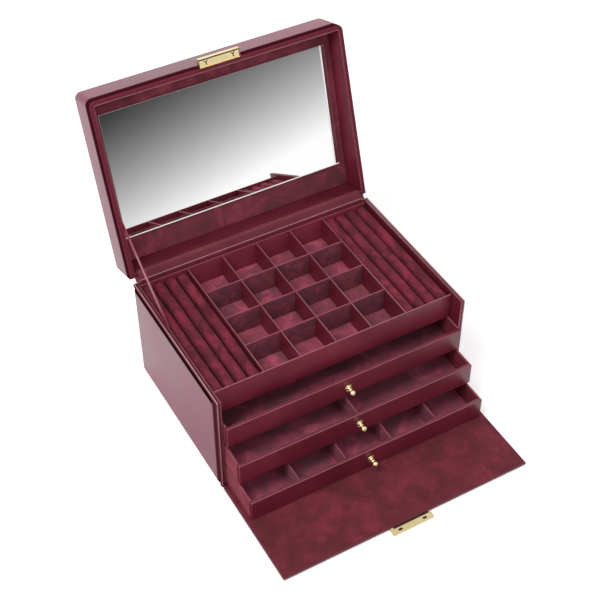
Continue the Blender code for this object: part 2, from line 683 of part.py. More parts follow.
# ---------------------------------------------------------------- flap
def make_flap():
    """Front flap, seen from its hinge axis, with the lock at its free edge."""
    hinge = joint_frame("flap_hinge", (0.0, FLAP_HINGE_Y, FLAP_HINGE_ABOVE))
    half = CASE_WIDTH / 2
    near = FLAP_NEAR_Y - FLAP_HINGE_Y
    free = FLAP_FREE_Y - FLAP_HINGE_Y
    under = FLAP_UNDER - FLAP_HINGE_ABOVE
    top = FLAP_TOP - FLAP_HINGE_ABOVE
    panel = slab("flap_panel", (-half, free, under), (half, near, top), leather, hinge, FLAP_EDGE, SOFT_STEPS)
    bed = ((-half + FLAP_BORDER, free + FLAP_BORDER, top - FLAP_RECESS),
           (half - FLAP_BORDER, near - FLAP_BORDER, top + SLOT_OVERRUN))
    lock_half = LOCK_WIDTH / 2
    lock_face = -FLAP_HINGE_ABOVE
    lock_top = lock_face + LOCK_THICKNESS
    notch = ((-lock_half - GAP, free - SLOT_OVERRUN, under - SLOT_OVERRUN),
             (lock_half + GAP, free + LOCK_LENGTH + GAP, lock_top + GAP))
    cut(panel, cutter("flap_recesses", [bed, notch], hinge))
    lining_under = top - FLAP_RECESS + GAP
    slab("flap_lining", (bed[0][0] + GAP, bed[0][1] + GAP, lining_under),
         (bed[1][0] - GAP, bed[1][1] - GAP, lining_under + FLAP_LINING), suede, hinge, LINING_EDGE)
    make_lock(hinge, free, lock_half, lock_face, lock_top)


def make_lock(hinge, free, half, face, top):
    """Brass lock plate past the flap's edge, with two slots for the catch and a sprung release slide."""
    end = free - LOCK_REACH
    plate = slab("lock_plate", (-half, end, face), (half, free + LOCK_LENGTH, top), brass, hinge, BRASS_EDGE)
    slot_y = end + LOCK_SLOT_INSET
    boxes = []
    for sign in (-1, 1):
        x = sign * LOCK_SLOT_SPACING / 2
        boxes.append(((x - LOCK_SLOT_LENGTH / 2, slot_y, face - SLOT_OVERRUN),
                      (x + LOCK_SLOT_LENGTH / 2, slot_y + LOCK_SLOT_WIDTH, top + SLOT_OVERRUN)))
    slide_y = free + LOCK_LENGTH / 2
    pocket_top = face + SLIDE_UNDER + SLIDE_THICKNESS + GAP
    boxes.append(((-SLIDE_WIDTH / 2 - GAP, slide_y - SLIDE_LENGTH / 2 - GAP, face - SLOT_OVERRUN),
                  (SLIDE_WIDTH / 2 + SLIDE_TRAVEL + GAP, slide_y + SLIDE_LENGTH / 2 + GAP, pocket_top)))
    cut(plate, cutter("lock_slots", boxes, hinge))
    slide = joint_frame("lock_slide_axis", (0.0, slide_y, face + SLIDE_UNDER))
    slide.parent = hinge
    slab("lock_slide", (-SLIDE_WIDTH / 2, -SLIDE_LENGTH / 2, 0.0),
         (SLIDE_WIDTH / 2, SLIDE_LENGTH / 2, SLIDE_THICKNESS), brass, slide, LINING_EDGE)


def make_flap_leather():
    """Leather strip that joins the flap to the base."""
    low = (-CASE_WIDTH / 2 + FLAP_EDGE, FLAP_NEAR_Y + GAP, FLAP_UNDER)
    high = (CASE_WIDTH / 2 - FLAP_EDGE, FRONT - GAP, FLAP_UNDER + FLAP_LINING)
    slab("flap_hinge_strip", low, high, leather)


make_base()
make_side("left", -1)
make_side("right", 1)
make_back()
make_shelves()
make_tray_shell()
make_dividers()
make_ring_rolls()
for drawer_number in range(1, DRAWER_COUNT + 1):
    make_drawer(drawer_number)
make_lid()
make_lid_leather()
make_strap()
make_flap()
make_flap_leather()
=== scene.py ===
import json
import math

import bmesh
import bpy
from mathutils import Matrix, Vector, noise


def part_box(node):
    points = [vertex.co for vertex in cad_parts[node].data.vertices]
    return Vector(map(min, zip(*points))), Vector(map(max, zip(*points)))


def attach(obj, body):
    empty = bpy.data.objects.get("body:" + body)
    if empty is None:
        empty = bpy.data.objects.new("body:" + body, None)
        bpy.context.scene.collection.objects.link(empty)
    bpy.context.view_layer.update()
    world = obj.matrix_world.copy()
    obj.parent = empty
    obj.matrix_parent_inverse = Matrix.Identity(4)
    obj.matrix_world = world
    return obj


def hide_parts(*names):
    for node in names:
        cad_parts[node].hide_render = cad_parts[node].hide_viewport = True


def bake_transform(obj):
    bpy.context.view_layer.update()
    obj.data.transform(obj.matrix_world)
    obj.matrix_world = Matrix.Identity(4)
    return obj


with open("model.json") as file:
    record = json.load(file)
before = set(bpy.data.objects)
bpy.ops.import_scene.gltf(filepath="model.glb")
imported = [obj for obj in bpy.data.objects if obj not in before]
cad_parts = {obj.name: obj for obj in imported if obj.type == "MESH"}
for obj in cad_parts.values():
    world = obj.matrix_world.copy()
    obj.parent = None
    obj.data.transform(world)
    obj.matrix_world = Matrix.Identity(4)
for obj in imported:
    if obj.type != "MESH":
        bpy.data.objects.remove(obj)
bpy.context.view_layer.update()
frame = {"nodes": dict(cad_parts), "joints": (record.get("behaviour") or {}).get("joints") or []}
JOINTS = {joint["name"]: joint for joint in frame["joints"]}
MM = 0.001
UP = (0.0, 0.0, 1.0)
FORWARD = (0.0, -1.0, 0.0)
BACKWARD = (0.0, 1.0, 0.0)
RIGHT = (1.0, 0.0, 0.0)
LEFT = (-1.0, 0.0, 0.0)


def show(thing):
    bpy.context.scene.collection.objects.link(thing)


# ---- camera
FOCAL_PX = 1282.1
PICTURE_PX = 600.0
SENSOR_MM = 36.0
AZIMUTH = math.radians(-29.6)
ELEVATION = math.radians(44.1)
TARGET = Vector((0.0024, 0.0, 0.1211))
DISTANCE = 1.3995
NEAR_CLIP = 0.05


def make_camera():
    camera = bpy.data.cameras.new("camera")
    camera.sensor_width = SENSOR_MM
    camera.lens = FOCAL_PX / PICTURE_PX * SENSOR_MM
    camera.clip_start = NEAR_CLIP
    eye = bpy.data.objects.new("camera", camera)
    flat = math.cos(ELEVATION)
    away = Vector((math.sin(AZIMUTH) * flat, -math.cos(AZIMUTH) * flat, math.sin(ELEVATION)))
    eye.location = TARGET + away * DISTANCE
    eye.rotation_euler = (-away).to_track_quat("-Z", "Y").to_euler()
    show(eye)
    bpy.context.scene.camera = eye


# ---- colours and shader nodes
SCREEN_GAMMA = 2.2


def linear(red, green, blue):
    """A colour given as 0 to 255 screen values, as the shaders need it."""
    return tuple((value / 255.0) ** SCREEN_GAMMA for value in (red, green, blue))


def shaded(colour, shade):
    """A screen colour, lighter or darker than it is; pieces use this for painted light and shade."""
    return tuple(min(1.0, channel * shade) for channel in linear(*colour))


class Finish:
    """The nodes of a new material, or of the world if one is given."""

    def __init__(self, name, world=None):
        self.material = world or bpy.data.materials.new(name)
        self.material.use_nodes = True
        self.tree = self.material.node_tree
        self.shader = self.tree.nodes["Background" if world else "Principled BSDF"]
        self.place = self.node("TexCoord").outputs["Generated" if world else "Object"]

    def link(self, value, socket):
        if isinstance(value, bpy.types.NodeSocket):
            self.tree.links.new(value, socket)
        else:
            socket.default_value = value

    def node(self, kind, **sockets):
        """A new node with its sockets linked or set; a socket's name has _ for each space."""
        node = self.tree.nodes.new("ShaderNode" + kind)
        for socket, value in sockets.items():
            self.link(value, node.inputs[socket.replace("_", " ")])
        return node

    def vector_maths(self, operation, place, by):
        node = self.node("VectorMath")
        node.operation = operation
        self.link(place, node.inputs[0])
        self.link(by, node.inputs[1])
        return node

    def stretched(self, factors):
        """The place, with each axis multiplied."""
        return self.vector_maths("MULTIPLY", self.place, factors).outputs["Vector"]

    def moved(self, place, shift):
        return self.vector_maths("ADD", place, shift).outputs["Vector"]

    def along(self, direction):
        """How far the place lies along a direction."""
        return self.vector_maths("DOT_PRODUCT", self.place, direction).outputs["Value"]

    def noise(self, scale, detail=3.0, roughness=0.55, distortion=0.0, place=None):
        node = self.node("TexNoise", Vector=place or self.place, Scale=scale, Detail=detail,
                         Roughness=roughness, Distortion=distortion)
        return node.outputs[0]

    def cells(self, scale):
        """Distance to the edges of leather-like cells."""
        node = self.node("TexVoronoi", Vector=self.place, Scale=scale)
        node.feature = "DISTANCE_TO_EDGE"
        return node.outputs["Distance"]

    def maths(self, operation, first, second=0.0, clamp=False):
        node = self.node("Math")
        node.operation = operation
        node.use_clamp = clamp
        self.link(first, node.inputs[0])
        self.link(second, node.inputs[1])
        return node.outputs[0]

    def times(self, first, second):
        return self.maths("MULTIPLY", first, second)

    def larger(self, first, second):
        return self.maths("MAXIMUM", first, second)

    def span(self, value, low, high, start=0.0, end=1.0):
        """A smooth step from start to end while the value goes from low to high."""
        node = self.node("MapRange", Value=value, From_Min=low, From_Max=high, To_Min=start, To_Max=end)
        node.interpolation_type = "SMOOTHSTEP"
        return node.outputs["Result"]

    def ramp(self, value, stops):
        node = self.node("ValToRGB", Fac=value)
        elements = node.color_ramp.elements
        while len(elements) < len(stops):
            elements.new(0.5)
        for element, (position, colour) in zip(elements, stops):
            element.position = position
            element.color = (*colour, 1.0)
        return node.outputs["Color"]

    def mix(self, factor, first, second):
        node = self.node("Mix")
        node.data_type = "RGBA"
        self.link(factor, node.inputs[0])
        for colour, socket in ((first, node.inputs[6]), (second, node.inputs[7])):
            self.link(colour if isinstance(colour, bpy.types.NodeSocket) else (*colour, 1.0), socket)
        return node.outputs[2]

    def bump(self, height, strength, distance, below=None):
        node = self.node("Bump", Strength=strength, Distance=distance, Height=height)
        if below is not None:
            self.link(below, node.inputs["Normal"])
        return node.outputs["Normal"]

    def rays(self, kind):
        """1 for rays of a kind."""
        return self.node("LightPath").outputs["Is %s Ray" % kind]

    def set(self, **values):
        """Sets or links the shader's sockets, named with _ for each space."""
        for socket, value in values.items():
            self.link(value, self.shader.inputs[socket.replace("_", " ")])


# ---- floor, studio and lamps
FLOOR_FRONT = -0.75  # the mirror looks past this edge
FLOOR_BACK = 4.0
FLOOR_HALF = 3.0
FLOOR_GLOW = 0.35  # lifts the lit floor to white
FLOOR_COLOUR = (0.93, 0.93, 0.93, 1.0)
WHITE = (1.0, 1.0, 1.0, 1.0)


def floor_paper():
    """Pale paper that reads white to the camera and in reflections."""
    f = Finish("floor_paper")
    seen = f.maths("ADD", f.rays("Camera"), f.rays("Glossy"))
    seen = f.maths("ADD", seen, f.rays("Transmission"), clamp=True)
    f.set(Base_Color=FLOOR_COLOUR, Roughness=0.9, Specular_IOR_Level=0.1)
    f.set(Emission_Color=WHITE, Emission_Strength=f.times(seen, FLOOR_GLOW))
    return f.material


def make_floor():
    """Floor that keeps the object's soft shadow."""
    bm = bmesh.new()
    corners = [(-FLOOR_HALF, FLOOR_FRONT), (FLOOR_HALF, FLOOR_FRONT), (FLOOR_HALF, FLOOR_BACK),
               (-FLOOR_HALF, FLOOR_BACK)]
    bm.faces.new([bm.verts.new((x, y, 0.0)) for x, y in corners])
    piece_of(bm, "floor", floor_paper(), False)


AMBIENT = 0.58  # brightness of the studio around the object
STUDIO_RIGHT = 2.19  # how fast the far front end brightens to the right
STUDIO_DOWN = 7.65  # and towards the floor
STUDIO_LEVEL = -0.972
STUDIO_DARKEST = 0.25
STUDIO_BRIGHTEST = 1.02
STUDIO_TOP = (0.10, 0.45)  # above these heights the studio turns white
STUDIO_BACK = (-0.6, -0.1)  # and behind these depths


def make_world():
    """White studio; its far front end, seen only in the mirror and gloss, falls off to grey."""
    world = bpy.data.worlds.new("studio")
    bpy.context.scene.world = world
    f = Finish("studio", world)
    height = f.along(UP)
    rightward = f.times(f.along(RIGHT), STUDIO_RIGHT)
    grey = f.maths("SUBTRACT", rightward, f.times(height, STUDIO_DOWN))
    grey = f.larger(f.maths("ADD", grey, STUDIO_LEVEL), STUDIO_DARKEST)
    grey = f.maths("POWER", f.maths("MINIMUM", grey, STUDIO_BRIGHTEST), SCREEN_GAMMA)
    white = f.larger(f.span(height, *STUDIO_TOP), f.span(f.along(BACKWARD), *STUDIO_BACK))
    level = f.maths("ADD", white, f.times(f.maths("SUBTRACT", 1.0, white), grey))
    glossy = f.rays("Glossy")
    reflected = f.times(glossy, level)
    plain = f.times(f.maths("SUBTRACT", 1.0, glossy), AMBIENT)
    seen = f.times(f.rays("Camera"), 1.0 - AMBIENT)
    f.set(Color=WHITE, Strength=f.maths("ADD", f.maths("ADD", reflected, plain), seen))


LIT_SPOT = Vector((0.0, 0.0, 0.1))


def make_softbox(name, place, size, radiance):
    """A square lamp whose face has one brightness, whatever its size."""
    lamp = bpy.data.lights.new(name, "AREA")
    lamp.size = size
    lamp.energy = radiance * math.pi * size * size
    box = bpy.data.objects.new(name, lamp)
    box.location = place
    box.rotation_euler = (LIT_SPOT - Vector(place)).to_track_quat("-Z", "Y").to_euler()
    show(box)


def make_lights():
    make_softbox("back_softbox", (0.7, 1.9, 1.5), 1.4, 1.6)
    make_softbox("key_softbox", (-1.05, -0.35, 1.9), 0.9, 8.0)
    make_softbox("front_softbox", (0.5, -1.6, 1.5), 1.0, 1.0)


# ---- rims, edges and grooves of a finish
BAND_FULL = 0.4  # share of a band's width that has its full strength
BEYOND = 1.0  # a place past the whole object
# painted highlights: lighter lines along edges, where light catches them
RIM_HIGHLIGHT = (150, 74, 92)
PALE_HIGHLIGHT = (192, 140, 150)


def band(f, direction, place, width):
    """1 from the place back along the direction for the width."""
    return f.span(f.along(direction), place - width, place - width * BAND_FULL)


def rim_mask(f, rims):
    """1 along the named rims, a little uneven; mostly for the painted highlights that edges catch. A rim is
    one or more bands that meet.
    """
    mask = None
    for rim in rims:
        line = band(f, *rim[:3])
        for i in range(3, len(rim), 3):
            line = f.times(line, band(f, *rim[i:i + 3]))
        mask = line if mask is None else f.larger(mask, line)
    patchiness = f.span(f.noise(160.0, 4.0), 0.2, 0.6, 0.55, 1.0)
    return f.times(mask, patchiness)


def with_rims(f, colour, rims, rim_tone):
    return f.mix(rim_mask(f, rims), colour, linear(*rim_tone)) if rims else colour


def groove(f, direction, start, full, last, end):
    """Rises from the start to full strength, holds to the last place and falls to the end."""
    value = f.along(direction)
    return f.times(f.span(value, start, full), f.span(value, last, end, 1.0, 0.0))


# ---- leather
LEATHER_DEEP = (98, 31, 46)
LEATHER_TONE = (119, 40, 57)
LEATHER_SPECK = (60, 16, 28)
OUTER_DEEP = (108, 32, 58)
OUTER_TONE = (132, 42, 72)
DYED_EDGE = (64, 18, 30)
LEATHER_SHINE = 0.45


def leather_grain(f):
    """Fine pores and shallow creases."""
    pores = f.bump(f.span(f.cells(1100.0), 0.0, 0.22), 0.16, 0.00006)
    return f.bump(f.noise(260.0, 6.0, 0.62, 0.8), 0.22, 0.00012, pores)


def leather(name, shade=1.0, rims=(), dye_and_shade=(), roughness=0.36, coat=0.3, rim_tone=RIM_HIGHLIGHT,
            deep=LEATHER_DEEP, tone=LEATHER_TONE, polish=None, dye_and_shade_tone=DYED_EDGE, grooves=()):
    """Smooth burgundy leather, faintly clouded, with a thin top coat and lighter rims as painted highlights.

    The gloss changes along a polish, given as a direction, two places and the gloss at each.
    Dyed edges and grooves take a tone of their own and lose the gloss; along grooves and shaded edges that
    tone is painted shade."""
    f = Finish(name)
    clouds = f.noise(14.0, 5.0, 0.6, 0.6)
    colour = f.ramp(clouds, [(0.32, shaded(deep, shade)), (0.68, shaded(tone, shade))])
    specks = f.span(f.noise(900.0, 2.0), 0.3, 0.7, 0.0, 0.16)
    colour = with_rims(f, f.mix(specks, colour, shaded(LEATHER_SPECK, shade)), rims, rim_tone)
    gloss = f.times(f.span(f.noise(9.0, 4.0), 0.3, 0.7, 0.85, 1.1), coat)
    shine = LEATHER_SHINE
    if polish:
        buffed = f.span(f.along(polish[0]), *polish[1:])
        gloss = f.times(gloss, buffed)
        shine = f.times(shine, buffed)
    dulled = [(band(f, *edge), dye_and_shade_tone) for edge in dye_and_shade]
    dulled += [(groove(f, *places), dull_tone) for places, dull_tone in grooves]
    for dull, dull_tone in dulled:
        colour = f.mix(dull, colour, linear(*dull_tone))
        keep = f.maths("SUBTRACT", 1.0, dull)
        gloss = f.times(gloss, keep)
        shine = f.times(shine, keep)
    f.set(Base_Color=colour, Normal=leather_grain(f), Specular_IOR_Level=shine)
    f.set(Roughness=f.span(clouds, 0.2, 0.8, roughness, roughness + 0.10))
    f.set(Coat_Weight=gloss, Coat_Roughness=0.28)
    return f.material


# ---- suede
SUEDE = ((95, 57, 66), (119, 57, 73), (144, 70, 88))  # dark, middle and light
LINING_SUEDE = ((96, 51, 60), (119, 52, 66), (144, 64, 82))
ROLL_SUEDE = ((89, 34, 48), (114, 41, 58), (143, 47, 66))
BED_SHADE_SUEDE = ((40, 8, 16), (52, 12, 22), (64, 16, 28))
DRAWER_SIDE_SUEDE = ((108, 34, 46), (128, 42, 58), (146, 52, 72))
FLAP_SUEDE = ((95, 39, 48), (110, 42, 54), (127, 48, 61))
SUEDE_STOPS = (0.40, 0.52, 0.63)
SUEDE_FIBRE = (58, 20, 30)
SUEDE_SHEEN = (1.0, 0.55, 0.62, 1.0)
EVEN = (1.0, 1.0, 1.0)


def suede(name, tones=SUEDE, scale=34.0, rims=(), shift=(0.0, 0.0, 0.0), shade=1.0, rim_tone=RIM_HIGHLIGHT,
          sheen=0.2, swirl=1.2, stretch=EVEN):
    """Burgundy suede with the clouds that a brushed nap shows."""
    f = Finish(name)
    place = f.moved(f.stretched(stretch), shift)
    clouds = f.noise(scale, 4.0, 0.55, swirl, place)
    brushed = f.noise(scale * 3.4, 4.0, 0.6, swirl * 0.6, place)
    both = f.maths("ADD", f.times(clouds, 0.7), f.times(brushed, 0.3))
    colour = f.ramp(both, [(stop, shaded(tone, shade)) for stop, tone in zip(SUEDE_STOPS, tones)])
    fibre = f.noise(3600.0, 2.0, 0.7)
    colour = f.mix(f.span(fibre, 0.3, 0.7, 0.0, 0.22), colour, shaded(SUEDE_FIBRE, shade))
    normal = f.bump(brushed, 0.25, 0.00030, f.bump(fibre, 0.35, 0.00010))
    f.set(Base_Color=with_rims(f, colour, rims, rim_tone), Normal=normal)
    f.set(Roughness=f.span(both, 0.35, 0.65, 0.94, 0.80), Specular_IOR_Level=0.25)
    f.set(Sheen_Weight=sheen, Sheen_Roughness=0.5, Sheen_Tint=SUEDE_SHEEN)
    return f.material


# ---- brass, glass and paper
BRASS_DULL = (0.84, 0.68, 0.35)
BRASS_CLEAN = (0.89, 0.75, 0.43)
SCRATCH_STRETCH = (1.0, 9.0, 9.0)
DARK_METAL_DEEP = (0.022, 0.008, 0.004)
DARK_METAL_TONE = (0.060, 0.024, 0.010)
PAPER_DEEP = (84, 26, 40)
PAPER_TONE = (104, 34, 50)


def brass(name, shade=1.0):
    """Polished brass with hair-fine scratches and slightly dulled patches."""
    f = Finish(name)
    patches = f.noise(140.0, 4.0)
    dull = tuple(channel * shade for channel in BRASS_DULL)
    clean = tuple(channel * shade for channel in BRASS_CLEAN)
    scratches = f.noise(900.0, 3.0, 0.6, 0.0, f.stretched(SCRATCH_STRETCH))
    f.set(Base_Color=f.ramp(patches, [(0.3, dull), (0.7, clean)]), Normal=f.bump(scratches, 0.03, 0.00001))
    f.set(Roughness=f.span(patches, 0.3, 0.7, 0.15, 0.24), Metallic=1.0)
    return f.material


def dark_metal(name):
    """Almost black metal for the hooks, and painted shade in the catch's gap, in the lock's slots and along
    its edge.
    """
    f = Finish(name)
    tone = f.ramp(f.noise(500.0), [(0.3, DARK_METAL_DEEP), (0.7, DARK_METAL_TONE)])
    f.set(Base_Color=tone, Roughness=0.7, Specular_IOR_Level=0.2)
    return f.material


GROUND_LINE = 2.2 * MM
GROUND_START = 0.2 * MM  # how sharply the inner ground line begins
# the ground lines glow a little: painted light
GROUND_PAINTED_GLOW = 0.3
EDGE_LINE = 0.7 * MM
EDGE_STRENGTH = 0.25
BEVEL_WIDTH = 4.6 * MM


def ground_lines(f, low, high, up):
    """1 on the ground lines along the mirror's bevel."""
    sides = f.larger(band(f, RIGHT, high.x, EDGE_LINE), band(f, LEFT, -low.x, EDGE_LINE))
    outer = f.larger(sides, band(f, tuple(up), high.y, EDGE_LINE))
    bevel = high.x - BEVEL_WIDTH
    start = f.span(f.along(RIGHT), bevel, bevel + GROUND_START, 1.0, 0.0)
    inner = f.times(band(f, RIGHT, bevel, GROUND_LINE), start)
    lines = f.larger(f.times(outer, EDGE_STRENGTH), inner)
    return f.larger(band(f, tuple(-up), -low.y, GROUND_LINE), lines)


def mirror_glass(name, low, high, up):
    """Silvered glass: a clean face, and the ground lines along its bevel, made brighter by a painted glow.
    """
    f = Finish(name)
    lines = ground_lines(f, low, high, up)
    smear = f.noise(30.0, 4.0)
    silver = f.ramp(smear, [(0.3, (0.925, 0.94, 0.925)), (0.7, (0.95, 0.955, 0.95))])
    ground = f.ramp(f.noise(1500.0), [(0.3, (0.86, 0.88, 0.87)), (0.7, (0.97, 0.98, 0.97))])
    polish = f.span(smear, 0.45, 0.8, 0.0, 0.012)
    f.set(Base_Color=f.mix(lines, silver, ground), Metallic=f.maths("SUBTRACT", 1.0, lines))
    f.set(Roughness=f.maths("ADD", f.times(lines, 0.4), polish))
    f.set(Emission_Color=WHITE, Emission_Strength=f.times(lines, GROUND_PAINTED_GLOW))
    return f.material


def board(name, rims):
    """Board covered in burgundy paper."""
    f = Finish(name)
    fibres = f.noise(420.0, 5.0, 0.65)
    colour = f.ramp(fibres, [(0.3, linear(*PAPER_DEEP)), (0.7, linear(*PAPER_TONE))])
    colour = with_rims(f, colour, rims, RIM_HIGHLIGHT)
    f.set(Base_Color=colour, Normal=f.bump(fibres, 0.15, 0.0001), Roughness=0.7)
    return f.material


def paint(node, material):
    """Gives a CAD node its finish."""
    mesh = frame["nodes"][node].data
    mesh.materials.clear()
    mesh.materials.append(material)


# ---- shape tools
def piece_of(bm, name, material, smooth=True):
    bmesh.ops.recalc_face_normals(bm, faces=bm.faces)
    mesh = bpy.data.meshes.new(name)
    bm.to_mesh(mesh)
    bm.free()
    if smooth:
        mesh.shade_smooth()
    made = bpy.data.objects.new(name, mesh)
    mesh.materials.append(material)
    show(made)
    return made


def fix(piece, body, slot, *nodes):
    """The piece rides on a body and may stand for CAD nodes, which it hides; the slot is not used."""
    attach(piece, body)
    if nodes:
        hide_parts(*nodes)


def soft_edges(piece, width, segments=5):
    bevel = piece.modifiers.new("soft_edges", "BEVEL")
    bevel.width = width
    bevel.segments = segments
    bevel.limit_method = "ANGLE"
    bevel.harden_normals = True
    return piece


def crisp(piece, degrees):
    """Keeps the edges sharper than an angle crisp."""
    piece.data.set_sharp_from_angle(angle=math.radians(degrees))
    return piece


def box_mesh(low, high):
    bm = bmesh.new()
    size = Vector(high) - Vector(low)
    middle = (Vector(low) + Vector(high)) / 2
    bmesh.ops.create_cube(bm, size=1.0, matrix=Matrix.Translation(middle) @ Matrix.Diagonal((*size, 1.0)))
    return bm


def soft_box(name, low, high, material, width, segments=5):
    """A board or sheet between two corners, with rounded edges."""
    return soft_edges(piece_of(box_mesh(low, high), name, material), width, segments)


def bridge(bm, rings):
    """Walls between closed rings of equally many points."""
    for near, far in zip(rings, rings[1:]):
        for k in range(len(near)):
            j = (k + 1) % len(near)
            bm.faces.new((near[k], near[j], far[j], far[k]))


def prism(bm, rings):
    """Two flat faces and the walls between them."""
    for ring in rings:
        bm.faces.new(ring)
    bridge(bm, rings)


def arc(centre, radius, start, end, steps):
    angles = [math.radians(start + (end - start) * i / steps) for i in range(steps + 1)]
    return [(centre[0] + radius * math.cos(a), centre[1] + radius * math.sin(a)) for a in angles]


def turned(name, profile, place, material, sides=40):
    """A profile of (radius, height) points turned about the Z axis of a placing matrix."""
    bm = bmesh.new()
    turn = [2 * math.pi * i / sides for i in range(sides)]
    rings = []
    for radius, height in profile:
        if radius < 1e-6:
            rings.append([bm.verts.new((0.0, 0.0, height))])
        else:
            rings.append([bm.verts.new((radius * math.cos(a), radius * math.sin(a), height)) for a in turn])
    for upper, lower in zip(rings, rings[1:]):
        for i in range(sides):
            j = (i + 1) % sides
            corners = [upper[i % len(upper)], upper[j % len(upper)]]
            corners += [lower[j % len(lower)], lower[i % len(lower)]]
            bm.faces.new(list(dict.fromkeys(corners)))
    bmesh.ops.transform(bm, matrix=place, verts=bm.verts)
    return piece_of(bm, name, material)


# ---- the lid's own frame
LID_HINGE = Vector(JOINTS["lid_hinge"]["pos_m"])
LID_OPEN = math.radians(JOINTS["lid_hinge"]["range_deg"][1])
IN_LID = Matrix.Translation(LID_HINGE) @ Matrix.Rotation(-LID_OPEN, 4, "X")
LID_DOWN = (IN_LID.to_3x3() @ Vector((0.0, 0.0, -1.0))).normalized()
LID_BACKWARD = (IN_LID.to_3x3() @ Vector(BACKWARD)).normalized()


def lid_box(node):
    """Lowest and highest corners of a CAD node in the lid's own frame."""
    back = IN_LID.inverted()
    points = [back @ v.co for v in frame["nodes"][node].data.vertices]
    low = Vector([min(p[i] for p in points) for i in range(3)])
    high = Vector([max(p[i] for p in points) for i in range(3)])
    return low, high


def farthest(node, direction):
    """How far a CAD node reaches along a direction."""
    return max(direction.dot(v.co) for v in frame["nodes"][node].data.vertices)


# ---- body's sides and back
RIM_WIDTH = 0.45 * MM
SIDE_BORDER = 4.2 * MM  # flat border along the top and front of each side
SIDE_GROOVE = 3.0 * MM  # dark groove between the border and the padded part
BORDER_EDGE = 0.35 * MM
BORDER_LINE = 1.8 * MM  # painted highlight line along the border's outer edge
BORDER_DYE = (96, 46, 56)
CUSHION_EDGE = 2.2 * MM
SHADED_EDGE = 6.0 * MM  # painted shade: the padded leather darkens towards the groove
# painted shade at the bottom of the side's groove
GROOVE_SHADE = (34, 5, 10)
# painted shade along the padded leather's front edge
FRONT_SHADE = (84, 40, 50)
SIDE_POLISH = ((0.0, 0.45, 0.89), -0.01, 0.12, 0.5, 1.12)
BACK_EDGE = 0.9 * MM


def make_border(side, low, high, outward, reach):
    """The flat border along the top and front of a side."""
    rims = [(UP, high.z, RIM_WIDTH, outward, reach, BORDER_LINE),
            (FORWARD, -low.y, RIM_WIDTH, outward, reach, BORDER_LINE)]
    # painted shade: a darker copy of the leather, with painted highlight lines along its outer edges
    skin = leather(side + "_border_leather", 0.75, rims, [(outward, reach, 0.3 * MM)], coat=0.1,
                   rim_tone=PALE_HIGHLIGHT, dye_and_shade_tone=BORDER_DYE)
    under = high.z - SIDE_BORDER
    top = ("_top_border", (low.x, low.y, under), high)
    front = ("_front_border", low, (high.x, low.y + SIDE_BORDER, under))
    for name, start, end in (top, front):
        strip = soft_box(side + name, start, end, skin, BORDER_EDGE, 3)
        fix(strip, "case", "outer_leather", side + "_cover")


def side_skin(side, top, front):
    """Padded leather with painted shade, almost black along its top edge and darker along its front;
    glossier higher up.
    """
    shade = (FORWARD, -front - SHADED_EDGE, -front - SHADED_EDGE * BAND_FULL, BEYOND, 2 * BEYOND)
    return leather(side + "_side_leather", dye_and_shade=[(UP, top, SHADED_EDGE)], deep=OUTER_DEEP, tone=OUTER_TONE,
                   polish=SIDE_POLISH, dye_and_shade_tone=GROOVE_SHADE, grooves=[(shade, FRONT_SHADE)])


def make_cushion(side, low, high, outside):
    """The padded part of a side, whose edges round off on its outside face only."""
    front = low.y + SIDE_BORDER + SIDE_GROOVE
    top = high.z - SIDE_BORDER - SIDE_GROOVE
    bm = box_mesh((low.x, front, low.z), (high.x, high.y, top))
    face = max(bm.faces, key=lambda item: item.calc_center_median().x * outside)
    edges = list(face.edges)
    bmesh.ops.bevel(bm, geom=edges, offset=CUSHION_EDGE, segments=6, profile=0.5, affect="EDGES")
    padded = crisp(piece_of(bm, side + "_side_leather", side_skin(side, top, front)), 40)
    fix(padded, "case", "outer_leather", side + "_cover")


def make_side(side, outside):
    """One side: a padded leather panel, a dark groove, and a flat border along the top and front."""
    low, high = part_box(side + "_cover")
    outward = (float(outside), 0.0, 0.0)
    reach = abs(low.x if outside < 0 else high.x)
    make_border(side, low, high, outward, reach)
    make_cushion(side, low, high, outside)


def make_back():
    low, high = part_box("back_cover")
    back = soft_box("back_leather", low, high, leather("back_leather"), BACK_EDGE)
    fix(back, "case", "outer_leather", "back_cover")


# ---- body's inside
def top_rim(node):
    """The top edge of a piece, for its painted highlight line: a direction, a place and a width."""
    return UP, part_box(node)[1].z, RIM_WIDTH


def front_rim(node):
    return FORWARD, -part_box(node)[0].y, RIM_WIDTH


PANEL_LINE = 1.4 * MM
PANEL_SHADE_WIDTH = 0.4 * MM
BACK_PANEL_DEEP = (96, 36, 50)
BACK_PANEL_TONE = (112, 44, 60)
LONG_DIVIDER_HIGHLIGHT = (120, 66, 78)


def finish_side_panel(node, inward):
    """A panel painted a little darker, with a painted highlight along its front edge; its outer face is
    painted almost black, as shade at the bottom of the side's groove.
    """
    low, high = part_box(node)
    inner = abs(high.x if inward > 0 else low.x)
    outer = abs(low.x if inward > 0 else high.x)
    rims = [(FORWARD, -low.y, RIM_WIDTH, (inward, 0.0, 0.0), -inner, PANEL_LINE)]
    dye_and_shade = [((-inward, 0.0, 0.0), outer, PANEL_SHADE_WIDTH)]
    paint(node, leather(node + "_leather", 0.9, rims, dye_and_shade, coat=0.2, dye_and_shade_tone=GROOVE_SHADE))


def finish_carcass():
    paint("base_board", leather("base_leather"))
    finish_side_panel("left_panel", 1.0)
    finish_side_panel("right_panel", -1.0)
    # painted light: the back panel's leather is a much lighter copy
    paint("back_panel", leather("back_panel_leather", 2.1, coat=0.4, roughness=0.5, deep=BACK_PANEL_DEEP,
                                tone=BACK_PANEL_TONE))
    for node in ("upper_shelf", "lower_shelf"):
        paint(node, board(node + "_paper", [front_rim(node)]))


